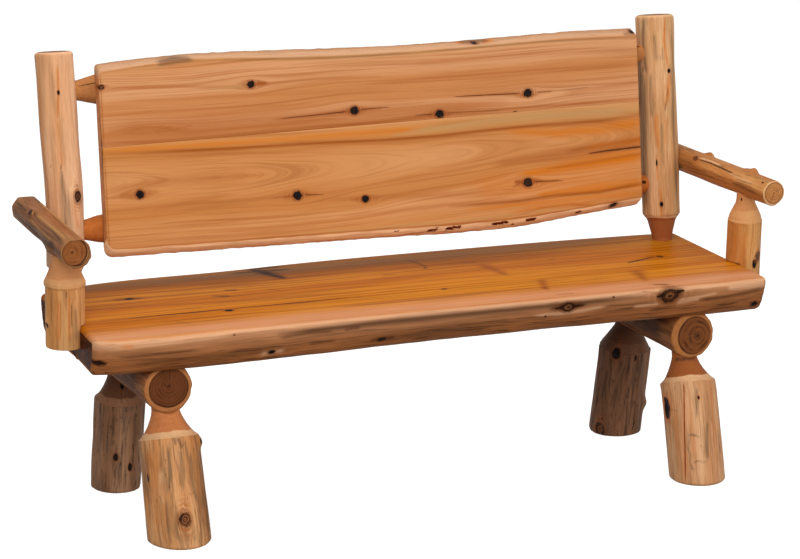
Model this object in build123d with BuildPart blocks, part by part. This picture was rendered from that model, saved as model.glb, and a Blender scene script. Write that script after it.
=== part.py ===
# Rustic log bench: a thick live-edge seat on two cross logs and four splayed log legs, a live-edge
# back carried on two rails between raked posts, and a log arm on a notched arm post at each end.
# Millimetres. X runs along the bench, the front faces -Y, and the floor is z = 0.

from build123d import *
from math import cos, radians, sin, tan
import os

# ---------------------------------------------------------------- driving sizes

# Seat: two planks glued edge to edge over a loose tongue, each with one live edge
seat_length = 1532.0
seat_depth = 470.0
seat_height = 437.0
seat_thickness = 80.0
seat_middle_y = 12.0
seat_arris = 12.0
seat_wane_height = 36.0
seat_wane_share = 0.35
seat_end_bevel = 8.0
front_plank_depth = 163.0
# Live edges: share of the half length, then how far the edge stands out from its straight line
# at its fullest and where it curls under the plank
front_edge_waves = [(-1.0, -22, -36), (-0.965, -2, -29), (-0.88, 6, -25), (-0.6, 1, -21),
                    (-0.2, -2, -37), (0.3, 0, -44), (0.65, -2, -39), (0.93, -3, -36), (1.0, -14, -46)]
rear_edge_waves = [(-1.0, -56, -80), (-0.93, -27, -51), (-0.86, -15, -39), (-0.4, 1, -23),
                   (-0.25, 9, -15), (0.3, 12, -12), (0.75, 1, -23), (0.95, -11, -35), (1.0, -16, -40)]
seat_tongue_length = 1400.0
seat_tongue_width = 50.0
seat_tongue_thickness = 14.0

# Cross logs that carry the seat, flattened on top to bed it
cross_log_diameter = 105.0
cross_log_spacing = 1212.0
cross_log_length = 352.0
cross_log_setback = 44.0
cross_log_flat = 6.5
cross_log_end_bevel = 5.0

# Legs: short fat logs, turned down at the top to a hollow neck and a round tenon. The shoulder's
# drop is measured from the cross log's axis.
front_left_leg_diameter = 127.0
front_right_leg_diameter = 121.0
rear_left_leg_diameter = 108.0
rear_right_leg_diameter = 116.0
front_left_neck_diameter = 60.0
front_right_neck_diameter = 54.0
rear_neck_diameter = 56.0
leg_shoulder_drop = 106.0
leg_neck_rise = 52.0
leg_tenon_diameter = 50.0
leg_tenon_reach = 20.0
front_leg_setback = 40.0
rear_leg_setback = 49.0
front_leg_splay_degrees = 16.7
rear_leg_splay_degrees = 6.2
front_leg_toe_in = 5.0
rear_left_leg_toe_in = -3.0
rear_right_leg_toe_in = 14.0

# Back posts, raked
post_spacing = 1420.0
post_setback = 68.0
post_rake_degrees = 8.5
post_length = 512.0
left_post_diameter = 81.0
right_post_diameter = 86.0
post_neck_diameter = 44.0
post_neck_height = 55.0
post_collar_height = 6.0
post_tenon_length = 60.0
post_top_bevel = 7.0

# Back rails, with their heights measured up the rake from the seat
upper_rail_height = 427.0
lower_rail_height = 130.0
upper_rail_diameter = 72.0
lower_rail_diameter = 68.0
rail_tenon_diameter = 40.0
rail_tenon_length = 34.0
rail_taper_length = 62.0

# Back: two boards glued edge to edge over a loose tongue, wide faces to the rails and live edges
# bevelled to the front
back_length = 1264.0
back_thickness = 30.0
back_seat_depth = 27.0
back_seam_height = 314.0
back_seam_rise = 16.0
back_top_height = 486.0
back_bottom_height = 64.0
back_end_bevel = 3.0
# Share of the half length, then the outer edge and the front arris above the nominal line
top_edge_waves = [(-1.0, -4, -22), (-0.7, 5, -7), (-0.3, 1, -17), (0.1, -5, -20), (0.45, -2, -17),
                  (0.75, 2, -13), (1.0, 0, -16)]
bottom_edge_waves = [(-1.0, 5, 25), (-0.5, 1, 21), (0.0, -3, 18), (0.35, -7, 15), (0.55, -4, 18),
                     (0.75, 8, 28), (1.0, 22, 42)]
back_tongue_length = 1160.0
back_tongue_width = 36.0
back_tongue_thickness = 8.0

# Arms, coped to the outer side of the back posts and carried in front by the arm posts. They meet
# the posts this far up the rake from the lower rail.
arm_rail_spacing = 49.0
arm_length = 428.0
arm_splay_degrees = 3.4
arm_overshoot = 50.0
arm_let_in = 6.5
left_arm_diameter = 67.0
right_arm_diameter = 57.0
left_arm_top_flat = 8.0
right_arm_top_flat = 2.0
arm_end_bevel = 6.0

# Arm posts, notched over the ends of the seat, with the shoulder's drop measured from the arm's axis
arm_post_setback = 162.0
arm_post_overhang = 23.5
arm_post_lap = 47.0
left_arm_post_diameter = 86.0
right_arm_post_diameter = 76.0
left_arm_neck_diameter = 56.0
right_arm_neck_diameter = 42.0
arm_post_shoulder_drop = 87.0
arm_neck_rise = 42.0
arm_tenon_diameter = 32.0
arm_tenon_reach = 8.0

# Turned necks are hollow: halfway along, this share of the step is left
neck_hollow_share = 0.33

# Lag screws that hold the seat, the arm posts and the arms, in sockets
lag_diameter = 8.0
lag_head_flats = 13.0
lag_head_height = 5.5
lag_socket_diameter = 24.0
seat_lag_socket = 24.0
seat_lag_bite = 46.0
seat_lag_setbacks = (128.0, 300.0)
arm_post_lag_length = 90.0
arm_lag_length = 86.0
arm_lag_socket = 14.0

# Lighter lag screws that hold the back boards to their rails
back_lag_diameter = 6.0
back_lag_head_flats = 10.0
back_lag_head_height = 4.0
back_lag_socket_diameter = 18.0
back_lag_socket = 10.0
back_lag_bite = 20.0
back_lag_stations = (-0.8, 0.8)
socket_reach = 40.0

# Clearances
tenon_play = 0.2
tenon_end_play = 2.0
cope_play = 0.3
screw_play = 0.15

# ---------------------------------------------------------------- places worked out from them

half_seat = seat_length / 2
half_back = back_length / 2
seat_front = seat_middle_y - seat_depth / 2
seat_rear = seat_middle_y + seat_depth / 2
seat_underside = seat_height - seat_thickness
seat_seam = seat_front + front_plank_depth

cross_log_radius = cross_log_diameter / 2
cross_log_height = seat_underside + cross_log_flat - cross_log_radius
cross_log_front = seat_front + cross_log_setback
cross_log_rear = cross_log_front + cross_log_length

post_foot_y = seat_rear - post_setback
post_diameters = {-1: left_post_diameter, 1: right_post_diameter}
rake_normal = Vector(0, -cos(radians(post_rake_degrees)), sin(radians(post_rake_degrees)))
rake_up = Vector(0, sin(radians(post_rake_degrees)), cos(radians(post_rake_degrees)))
rake_plane = Plane(origin=(0, post_foot_y, seat_height), x_dir=(1, 0, 0), z_dir=rake_normal)

arm_diameters = {-1: left_arm_diameter, 1: right_arm_diameter}
arm_climb = lower_rail_height + arm_rail_spacing
arm_height = seat_height + arm_climb * cos(radians(post_rake_degrees))
arm_meeting_y = post_foot_y + arm_climb * sin(radians(post_rake_degrees))
arm_post_x = half_seat + arm_post_overhang
arm_post_y = seat_front + arm_post_setback

os.makedirs("parts", exist_ok=True)


def rake_point(x, climb, forward):
    """A place on the raked back: along the bench, up the posts, and forward of their axes."""
    return rake_plane.origin + Vector(x, 0, 0) + rake_up * climb + rake_normal * forward


def lengthwise_plane(origin, along):
    """A plane through a log's axis: local Y runs along the log and local X straight out of it."""
    start = Vector(0, 0, 1) if abs(along.X) > abs(along.Z) + abs(along.Y) else Vector(1, 0, 0)
    out = (start - along * start.dot(along)).normalized()
    return Plane(origin=origin, x_dir=out, z_dir=out.cross(along))


def hollow_radius(wide, narrow):
    """How thick a hollow neck still is halfway along."""
    return narrow + (wide - narrow) * neck_hollow_share


def keep(part, label):
    """Labels a finished piece and writes it."""
    part.label = label
    export_step(part, f"parts/{label}.step")


# ---------------------------------------------------------------- where the fasteners go
# Each plane lies on the seat of a head, with its Z pointing back out of the wood.

seat_lag_level = cross_log_height - cross_log_radius + seat_lag_socket
seat_lag_length = seat_underside + seat_lag_bite - seat_lag_level
seat_lag_planes = [Plane(origin=(side * cross_log_spacing / 2, seat_front + setback, seat_lag_level),
                         z_dir=(0, 0, -1)) for side in (-1, 1) for setback in seat_lag_setbacks]

arm_post_lag_level = seat_height - arm_post_lap / 2
arm_post_lag_x = half_seat + arm_post_lag_length / 2
arm_post_lag_planes = [Plane(origin=(side * arm_post_lag_x, arm_post_y, arm_post_lag_level),
                             z_dir=(side, 0, 0)) for side in (-1, 1)]

arm_lag_planes = [Plane(origin=(side * (post_spacing / 2 - post_diameters[side] / 2 + arm_lag_socket),
                                arm_meeting_y, arm_height), z_dir=(-side, 0, 0)) for side in (-1, 1)]

back_lag_planes = []
for rail_height, rail_diameter in ((upper_rail_height, upper_rail_diameter),
                                   (lower_rail_height, lower_rail_diameter)):
    for station in back_lag_stations:
        head = rake_point(station * half_back, rail_height, back_lag_socket - rail_diameter / 2)
        back_lag_planes.append(Plane(origin=head, z_dir=rake_normal * -1))
back_lag_length = back_seat_depth + back_lag_bite + lower_rail_diameter / 2 - back_lag_socket


def bore(planes, diameter, length, socket_diameter):
    """Cuts a pilot hole below each head's seat and a socket above it, out through the surface."""
    with Locations([plane.offset(socket_reach) for plane in planes]):
        CounterBoreHole(radius=diameter / 2 + screw_play, counter_bore_radius=socket_diameter / 2,
                        counter_bore_depth=socket_reach, depth=socket_reach + length + screw_play)


def bore_lags(planes, length):
    bore(planes, lag_diameter, length, lag_socket_diameter)


def bore_back_lags():
    bore(back_lag_planes, back_lag_diameter, back_lag_length, back_lag_socket_diameter)


# ---------------------------------------------------------------- seat planks

seat_tongue_plane = Plane(origin=(0, seat_seam, seat_height - seat_thickness / 2))


def post_mortise_planes():
    """Where each back post enters the seat: Z up the rake, origin at the end of its tenon."""
    return [Plane(origin=rake_point(side * post_spacing / 2, -post_tenon_length - tenon_end_play, 0),
                  x_dir=(1, 0, 0), z_dir=rake_up) for side in (-1, 1)]


def seat_plank(label, outer_y, outward, waves):
    """One thick plank: a live edge, eased on top and curling under, and a straight seam."""
    levels = ((seat_underside, 0.0, 1.0), (seat_underside + seat_wane_height, 0.0, seat_wane_share),
              (seat_height - seat_arris, 0.0, 0.0), (seat_height, seat_arris, 0.0))
    with BuildPart() as plank:
        for level, inset, curl in levels:
            with BuildSketch(Plane.XY.offset(level)):
                with BuildLine():
                    edge = Spline([(share * half_seat,
                                    outer_y + outward * (full + (under - full) * curl - inset))
                                   for share, full, under in waves])
                    Polyline(edge @ 1, (half_seat, seat_seam), (-half_seat, seat_seam), edge @ 0)
                make_face()
        loft(ruled=True)
        chamfer(plank.faces().sort_by(Axis.Z)[-1].edges().filter_by(Axis.Y), length=seat_end_bevel)
        bore_lags(seat_lag_planes, seat_lag_length)
        bore_lags(arm_post_lag_planes, arm_post_lag_length)
        with Locations(seat_tongue_plane):
            Box(seat_tongue_length + 2 * tenon_end_play, seat_tongue_width + 2 * tenon_play,
                seat_tongue_thickness + 2 * tenon_play, mode=Mode.SUBTRACT)
        if outward > 0:
            with Locations(post_mortise_planes()):
                Cylinder(post_neck_diameter / 2 + tenon_play, post_tenon_length * 2,
                         align=(Align.CENTER, Align.CENTER, Align.MIN), mode=Mode.SUBTRACT)
    keep(plank.part, label)


seat_plank("seat_front_plank", seat_front, -1, front_edge_waves)
seat_plank("seat_rear_plank", seat_rear, 1, rear_edge_waves)

with BuildPart() as seat_tongue:
    with Locations(seat_tongue_plane):
        Box(seat_tongue_length, seat_tongue_width, seat_tongue_thickness)
keep(seat_tongue.part, "seat_tongue")


# ---------------------------------------------------------------- cross logs and legs

def leg_axis(side, end):
    """Where a leg's axis crosses its cross log's axis, and its direction up from the foot."""
    if end < 0:
        crossing_y = cross_log_front + front_leg_setback
        splay, toe_in = front_leg_splay_degrees, front_leg_toe_in
    else:
        crossing_y = cross_log_rear - rear_leg_setback
        splay = rear_leg_splay_degrees
        toe_in = rear_left_leg_toe_in if side < 0 else rear_right_leg_toe_in
    crossing = Vector(side * cross_log_spacing / 2, crossing_y, cross_log_height)
    up = Vector(side * toe_in / cross_log_height, -end * tan(radians(splay)), 1).normalized()
    return crossing, up


def cross_log(label, side):
    """A round log under the seat, bedded by a flat, bored for two leg tenons and the lag screws."""
    axis_plane = Plane(origin=(side * cross_log_spacing / 2, cross_log_rear, cross_log_height),
                       x_dir=(1, 0, 0), z_dir=(0, -1, 0))
    with BuildPart() as log:
        with BuildSketch(axis_plane):
            Circle(cross_log_radius)
        extrude(amount=cross_log_length)
        chamfer(log.edges().filter_by(GeomType.CIRCLE), length=cross_log_end_bevel)
        split(bisect_by=Plane.XY.offset(seat_underside), keep=Keep.BOTTOM)
        for end in (-1, 1):
            crossing, up = leg_axis(side, end)
            with Locations(Plane(origin=crossing + up * (leg_tenon_reach + tenon_end_play), z_dir=up)):
                Cylinder(leg_tenon_diameter / 2 + tenon_play, cross_log_diameter,
                         align=(Align.CENTER, Align.CENTER, Align.MAX), mode=Mode.SUBTRACT)
        bore_lags(seat_lag_planes, seat_lag_length)
    keep(log.part, label)


def leg(label, side, end, diameter, neck_diameter):
    """A splayed log leg: level foot, hollow neck coped to the cross log, and a round tenon."""
    crossing, up = leg_axis(side, end)
    radius = diameter / 2
    neck_radius = neck_diameter / 2
    shoulder = -leg_shoulder_drop / up.Z
    neck_top = shoulder + leg_neck_rise
    foot = -cross_log_height / up.Z - diameter
    with BuildPart() as log:
        with BuildSketch(lengthwise_plane(crossing, up)):
            with BuildLine():
                Polyline((0, 0), (0, foot), (radius, foot), (radius, shoulder),
                         (hollow_radius(radius, neck_radius), shoulder + leg_neck_rise / 2),
                         (neck_radius, neck_top), (neck_radius, 0), (0, 0))
            make_face()
        revolve(axis=Axis(crossing, up))
        split(bisect_by=Plane.XY, keep=Keep.TOP)
        with Locations(Plane(origin=(crossing.X, crossing.Y, cross_log_height), z_dir=(0, 1, 0))):
            Cylinder(cross_log_radius + cope_play, cross_log_length, mode=Mode.SUBTRACT)
        with Locations(Plane(origin=crossing + up * neck_top, z_dir=up)):
            Cylinder(leg_tenon_diameter / 2, leg_tenon_reach - neck_top,
                     align=(Align.CENTER, Align.CENTER, Align.MIN))
    keep(log.part, label)


cross_log("cross_log_left", -1)
cross_log("cross_log_right", 1)
leg("leg_front_left", -1, -1, front_left_leg_diameter, front_left_neck_diameter)
leg("leg_front_right", 1, -1, front_right_leg_diameter, front_right_neck_diameter)
leg("leg_rear_left", -1, 1, rear_left_leg_diameter, rear_neck_diameter)
leg("leg_rear_right", 1, 1, rear_right_leg_diameter, rear_neck_diameter)


# ---------------------------------------------------------------- back posts and rails

def post_face(side):
    """How far along the bench the inner face of a back post stands."""
    return post_spacing / 2 - post_diameters[side] / 2


def back_post(label, side):
    """A raked log post with a turned neck and tenon, bored for two rails and its arm's lag screw."""
    radius = post_diameters[side] / 2
    neck_radius = post_neck_diameter / 2
    foot = rake_point(side * post_spacing / 2, 0, 0)
    with BuildPart() as post:
        with BuildSketch(lengthwise_plane(foot, rake_up)):
            with BuildLine():
                Polyline((0, 0), (0, -post_tenon_length), (neck_radius, -post_tenon_length),
                         (neck_radius, post_collar_height),
                         (hollow_radius(radius, neck_radius), (post_collar_height + post_neck_height) / 2),
                         (radius, post_neck_height), (radius, post_length - post_top_bevel),
                         (radius - post_top_bevel, post_length), (0, post_length), (0, 0))
            make_face()
        revolve(axis=Axis(foot, rake_up))
        for rail_height in (upper_rail_height, lower_rail_height):
            mortise_end = rake_point(side * (post_face(side) + rail_tenon_length + tenon_end_play),
                                     rail_height, 0)
            with Locations(Plane(origin=mortise_end, z_dir=(-side, 0, 0))):
                Cylinder(rail_tenon_diameter / 2 + tenon_play, post_diameters[side],
                         align=(Align.CENTER, Align.CENTER, Align.MIN), mode=Mode.SUBTRACT)
        bore_lags(arm_lag_planes, arm_lag_length)
    keep(post.part, label)


def back_rail(label, height, diameter):
    """A log rail: a round tenon and a taper at each end, flattened in front to bed a back board."""
    radius = diameter / 2
    tenon_radius = rail_tenon_diameter / 2
    middle = rake_point(0, height, 0)
    left, right = post_face(-1), post_face(1)
    with BuildPart() as rail:
        with BuildSketch(lengthwise_plane(middle, Vector(1, 0, 0))):
            with BuildLine():
                Polyline((0, -left - rail_tenon_length), (tenon_radius, -left - rail_tenon_length),
                         (tenon_radius, -left), (radius, -left + rail_taper_length),
                         (radius, right - rail_taper_length), (tenon_radius, right),
                         (tenon_radius, right + rail_tenon_length), (0, right + rail_tenon_length),
                         (0, -left - rail_tenon_length))
            make_face()
        revolve(axis=Axis(middle, (1, 0, 0)))
        split(bisect_by=rake_plane.offset(back_seat_depth), keep=Keep.BOTTOM)
        bore_back_lags()
    keep(rail.part, label)


back_post("back_post_left", -1)
back_post("back_post_right", 1)
back_rail("back_rail_upper", upper_rail_height, upper_rail_diameter)
back_rail("back_rail_lower", lower_rail_height, lower_rail_diameter)


# ---------------------------------------------------------------- back boards

back_seam_direction = (Vector(back_length, 0, 0) + rake_up * back_seam_rise).normalized()
back_tongue_plane = Plane(origin=rake_point(0, back_seam_height, back_seat_depth + back_thickness / 2),
                          x_dir=back_seam_direction, z_dir=rake_normal)


def back_board(label, nominal, waves):
    """One back board: its live edge slopes from a wide rear face to a narrower front one."""
    seam_drop = back_seam_rise / 2
    with BuildPart() as board:
        for depth, column in ((back_seat_depth, 1), (back_seat_depth + back_thickness, 2)):
            with BuildSketch(rake_plane.offset(depth)):
                with BuildLine():
                    edge = Spline([(station[0] * half_back, nominal + station[column])
                                   for station in waves])
                    Polyline(edge @ 1, (half_back, back_seam_height + seam_drop),
                             (-half_back, back_seam_height - seam_drop), edge @ 0)
                make_face()
        loft(ruled=True)
        front_face = board.faces().sort_by(Axis(rake_plane.origin, rake_normal))[-1]
        chamfer(front_face.edges().filter_by(lambda edge: abs((edge % 0.5).X) < 0.01),
                length=back_end_bevel)
        bore_back_lags()
        with Locations(back_tongue_plane):
            Box(back_tongue_length + 2 * tenon_end_play, back_tongue_width + 2 * tenon_play,
                back_tongue_thickness + 2 * tenon_play, mode=Mode.SUBTRACT)
    keep(board.part, label)


back_board("back_board_upper", back_top_height, top_edge_waves)
back_board("back_board_lower", back_bottom_height, bottom_edge_waves)

with BuildPart() as back_tongue:
    with Locations(back_tongue_plane):
        Box(back_tongue_length, back_tongue_width, back_tongue_thickness)
keep(back_tongue.part, "back_tongue")


# ---------------------------------------------------------------- arms and arm posts

def arm_axis(side):
    """The rear end of an arm's axis, and its direction towards the front."""
    forward = Vector(side * sin(radians(arm_splay_degrees)), -cos(radians(arm_splay_degrees)), 0)
    beside_post = (post_spacing + post_diameters[side] + arm_diameters[side]) / 2 - arm_let_in
    meeting = Vector(side * beside_post, arm_meeting_y, arm_height)
    return meeting - forward * arm_overshoot, forward


def arm(label, side, top_flat):
    """A log arm: eased ends, a flat on top, a cope round the back post and a mortise in front."""
    radius = arm_diameters[side] / 2
    rear, forward = arm_axis(side)
    with BuildPart() as log:
        with BuildSketch(Plane(origin=rear, z_dir=forward)):
            Circle(radius)
        extrude(amount=arm_length)
        chamfer(log.edges().filter_by(GeomType.CIRCLE), length=arm_end_bevel)
        split(bisect_by=Plane.XY.offset(arm_height + radius - top_flat), keep=Keep.BOTTOM)
        with Locations(Plane(origin=rake_point(side * post_spacing / 2, 0, 0), z_dir=rake_up)):
            Cylinder(post_diameters[side] / 2 + cope_play, post_length * 2, mode=Mode.SUBTRACT)
        mortise_top = arm_height + arm_tenon_reach + tenon_end_play
        with Locations((side * arm_post_x, arm_post_y, mortise_top)):
            Cylinder(arm_tenon_diameter / 2 + tenon_play, arm_diameters[side],
                     align=(Align.CENTER, Align.CENTER, Align.MAX), mode=Mode.SUBTRACT)
        bore_lags(arm_lag_planes, arm_lag_length)
    keep(log.part, label)


def arm_post(label, side, diameter, neck_diameter):
    """A short log post: notched over the seat's end, with a neck coped to the arm and a tenon."""
    radius = diameter / 2
    neck_radius = neck_diameter / 2
    bottom = seat_height - arm_post_lap
    shoulder = arm_height - arm_post_shoulder_drop
    neck_top = shoulder + arm_neck_rise
    rear, forward = arm_axis(side)
    with BuildPart() as post:
        with BuildSketch(lengthwise_plane(Vector(side * arm_post_x, arm_post_y, 0), Vector(0, 0, 1))):
            with BuildLine():
                Polyline((0, arm_height), (0, bottom), (radius, bottom), (radius, shoulder),
                         (hollow_radius(radius, neck_radius), shoulder + arm_neck_rise / 2),
                         (neck_radius, neck_top), (neck_radius, arm_height), (0, arm_height))
            make_face()
        revolve(axis=Axis((side * arm_post_x, arm_post_y, 0), (0, 0, 1)))
        with Locations((side * half_seat, arm_post_y, seat_height)):
            Box(arm_post_x, diameter * 2, seat_height,
                align=(Align.MAX if side > 0 else Align.MIN, Align.CENTER, Align.MAX), mode=Mode.SUBTRACT)
        with Locations(Plane(origin=rear, z_dir=forward)):
            Cylinder(arm_diameters[side] / 2 + cope_play, arm_length,
                     align=(Align.CENTER, Align.CENTER, Align.MIN), mode=Mode.SUBTRACT)
        with Locations((side * arm_post_x, arm_post_y, neck_top)):
            Cylinder(arm_tenon_diameter / 2, arm_height + arm_tenon_reach - neck_top,
                     align=(Align.CENTER, Align.CENTER, Align.MIN))
        bore_lags(arm_post_lag_planes, arm_post_lag_length)
    keep(post.part, label)


arm("arm_left", -1, left_arm_top_flat)
arm("arm_right", 1, right_arm_top_flat)
arm_post("arm_post_left", -1, left_arm_post_diameter, left_arm_neck_diameter)
arm_post("arm_post_right", 1, right_arm_post_diameter, right_arm_neck_diameter)


# ---------------------------------------------------------------- lag screws

def lag_screws(label, planes, length, diameter, head_flats, head_height):
    """A set of hex-headed lag screws with plain round shanks."""
    with BuildPart() as lag:
        Cylinder(diameter / 2, length, align=(Align.CENTER, Align.CENTER, Align.MAX))
        with BuildSketch():
            RegularPolygon(head_flats / 2, 6, major_radius=False)
        extrude(amount=head_height)
    with BuildPart() as lags:
        with Locations(planes):
            add(lag.part)
    keep(lags.part, label)


for label, planes, length in (("seat_lag_screws", seat_lag_planes, seat_lag_length),
                              ("arm_post_lag_screws", arm_post_lag_planes, arm_post_lag_length),
                              ("arm_lag_screws", arm_lag_planes, arm_lag_length)):
    lag_screws(label, planes, length, lag_diameter, lag_head_flats, lag_head_height)
lag_screws("back_lag_screws", back_lag_planes, back_lag_length, back_lag_diameter,
           back_lag_head_flats, back_lag_head_height)
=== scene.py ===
import bpy
import numpy as np
from functools import reduce
from math import cos, pi, radians, sin
from mathutils import Matrix, Vector


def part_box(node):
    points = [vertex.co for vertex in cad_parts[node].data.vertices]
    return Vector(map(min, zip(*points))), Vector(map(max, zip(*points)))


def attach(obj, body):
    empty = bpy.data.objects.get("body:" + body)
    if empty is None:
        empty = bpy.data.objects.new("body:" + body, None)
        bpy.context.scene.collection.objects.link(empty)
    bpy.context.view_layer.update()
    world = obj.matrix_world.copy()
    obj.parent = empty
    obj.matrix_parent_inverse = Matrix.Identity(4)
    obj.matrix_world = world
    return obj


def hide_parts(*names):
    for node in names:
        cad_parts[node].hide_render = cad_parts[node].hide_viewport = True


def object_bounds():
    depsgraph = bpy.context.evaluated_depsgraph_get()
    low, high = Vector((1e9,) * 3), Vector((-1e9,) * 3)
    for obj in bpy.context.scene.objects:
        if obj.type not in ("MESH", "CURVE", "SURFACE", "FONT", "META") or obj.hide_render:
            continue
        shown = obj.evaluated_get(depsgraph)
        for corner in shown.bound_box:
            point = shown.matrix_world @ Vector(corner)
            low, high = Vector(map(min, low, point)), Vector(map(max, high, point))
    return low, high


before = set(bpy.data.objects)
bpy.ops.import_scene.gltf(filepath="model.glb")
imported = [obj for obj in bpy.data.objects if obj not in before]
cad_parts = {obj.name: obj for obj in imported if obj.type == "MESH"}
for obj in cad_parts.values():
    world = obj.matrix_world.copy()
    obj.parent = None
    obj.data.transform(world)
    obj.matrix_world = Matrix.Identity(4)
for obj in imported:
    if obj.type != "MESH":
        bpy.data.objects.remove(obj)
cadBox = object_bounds()
boxLow, boxHigh = (np.array(corner) for corner in cadBox)

# Sizes are in metres. X runs along the bench, the front faces -Y, the floor is z = 0.
# Strokes, knots, lumps, facets, splits, bows and waves are listed in millimetres and degrees.
mm = 0.001
seatLow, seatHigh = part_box("seat_rear_plank")
bench = {
    "seatTop": seatHigh.z,
    "seatUnder": seatLow.z,
    "seatHalf": seatHigh.x,
    "seatSeam": seatLow.y,
    "seatFront": -0.223,
    "seatRear": 0.247,
    "beamX": 0.606,
    "beamZ": 0.311,
    "beamRadius": 0.0525,
    "beamFront": -0.179,
    "beamLength": 0.352,
    "legShoulder": 0.205,  # height over the floor
    "legTop": 0.257,
    "legCrossing": {-1: -0.139, 1: 0.124},  # where the front and rear legs meet the cross logs
    "postX": 0.710,
    "postY": 0.179,
    "rake": radians(8.5),
    "armHeight": 0.614,
    "armPostX": 0.7895,
    "armPostY": -0.061,
    "boardHalf": 0.632,
    "boardBack": 0.027,
    "boardThick": 0.030,
    "boardSeam": 0.314,  # up the rake, at the middle
    "seamRise": 0.008,
    "tenon": 0.03,
    "armPostDrop": 0.047,
}
rakeUp = np.array([0, sin(bench["rake"]), cos(bench["rake"])])
rakeForward = np.array([0, -cos(bench["rake"]), sin(bench["rake"])])
rakeBase = np.array([0, bench["postY"], bench["seatTop"]])
boardFace = bench["boardBack"] + bench["boardThick"]
print("frame loaded")


def unit(vector):  # the vector over its own length
    vector = np.asarray(vector, float)
    return vector / np.linalg.norm(vector)


def scaledRows(table, *scales):  # a list as rows, each column times its own scale
    return np.reshape(table, (-1, len(scales))) * scales


def fillSteps(stops, step):  # distances through every stop, no further apart than step
    pieces = [np.linspace(a, b, max(3, int((b - a) / step) + 2))[:-1] for a, b in zip(stops, stops[1:])]
    return np.concatenate(pieces + [[stops[-1]]])


def wrapAngle(angle):  # brought to between -pi and pi
    return (angle + pi) % (2 * pi) - pi


def bump(distance, width):  # e to the power of -(distance / width) squared
    return np.exp(-(distance / width) ** 2)


def ripple(seed, across, along, size, wavesAcross=(1, 5), wavesAlong=(3, 22)):
    # sum of cosines: size / n * cos(m * across + k * along + phase), m whole so that it closes round a log
    random = np.random.default_rng(seed)
    total = 0 * (across + along)
    for count in range(1, 8):
        m = random.integers(wavesAcross[0], wavesAcross[1] + 1)
        k = random.uniform(*wavesAlong) * random.choice((-1, 1))
        total = total + size / count ** 0.6 * np.cos(m * across + k * along + random.uniform(0, 2 * pi))
    return total / 2


def strokeField(along, around, points, wrap):
    # distance to a line through the points, its side, the share of the way along it, and its width there
    apart = (lambda a, b: wrap * wrapAngle((a - b) / wrap)) if wrap else (lambda a, b: a - b)
    nearest, share, width, side = np.full((along + around).shape, 9.0), 0, 0, 0
    for count, (start, end) in enumerate(zip(points, points[1:])):
        runU, runV = end[0] - start[0], apart(end[1], start[1])
        du, dv = along - start[0], apart(around, start[1])
        t = np.clip((du * runU + dv * runV) / (runU ** 2 + runV ** 2), 0, 1)
        away = np.hypot(du - t * runU, dv - t * runV)
        closer = away < nearest
        share = np.where(closer, (count + t) / (len(points) - 1), share)
        width = np.where(closer, start[2] + (end[2] - start[2]) * t, width)
        side = np.where(closer, np.sign(runU * dv - runV * du), side)
        nearest = np.minimum(nearest, away)
    return nearest, side, share, width


strokeKinds = {"orange": 0, "grey": 1, "pale": 2, "light": 2, "stain": 3, "brown": 4, "deep": 5, "flake": 6}


def strokeList(strokes, *scales):
    # a stroke is its strength, then three numbers for each point: the place along, the place across, the half width
    return [(kind, row[0], scaledRows(row[1:], *scales)) for kind, rows in strokes.items() for row in rows]


def markFields(along, around, strokes, wrap=None):
    # strokes are soft lines of colour; a crack keeps its signed distance over its width, so that it stays thin
    soft = [np.zeros((along + around).shape) for channel in range(7)]
    crackSide, crackWeight = np.full(soft[0].shape, 9.0), np.zeros(soft[0].shape)
    for kind, strength, points in strokes:
        away, side, share, width = strokeField(along, around, points, wrap)
        fromEnd = np.minimum(share, 1 - share)
        taper = np.clip(fromEnd * 7 + 0.3, 0, 1)
        if kind == "crack":
            weight = strength * bump(away, 0.0055) * np.clip(fromEnd * 12, 0, 1)
            stronger = weight > crackWeight
            crackSide = np.where(stronger, side * away / (width * taper), crackSide)
            crackWeight = np.where(stronger, weight, crackWeight)
        else:
            place = strokeKinds[kind]
            soft[place] = np.maximum(soft[place], strength * taper * bump(away, width))
    return {
        "tint": np.stack(soft[0:3], -1),
        "dark": np.stack([soft[3], crackSide, crackWeight], -1),
        "band": np.stack(soft[4:7], -1),
    }


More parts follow.
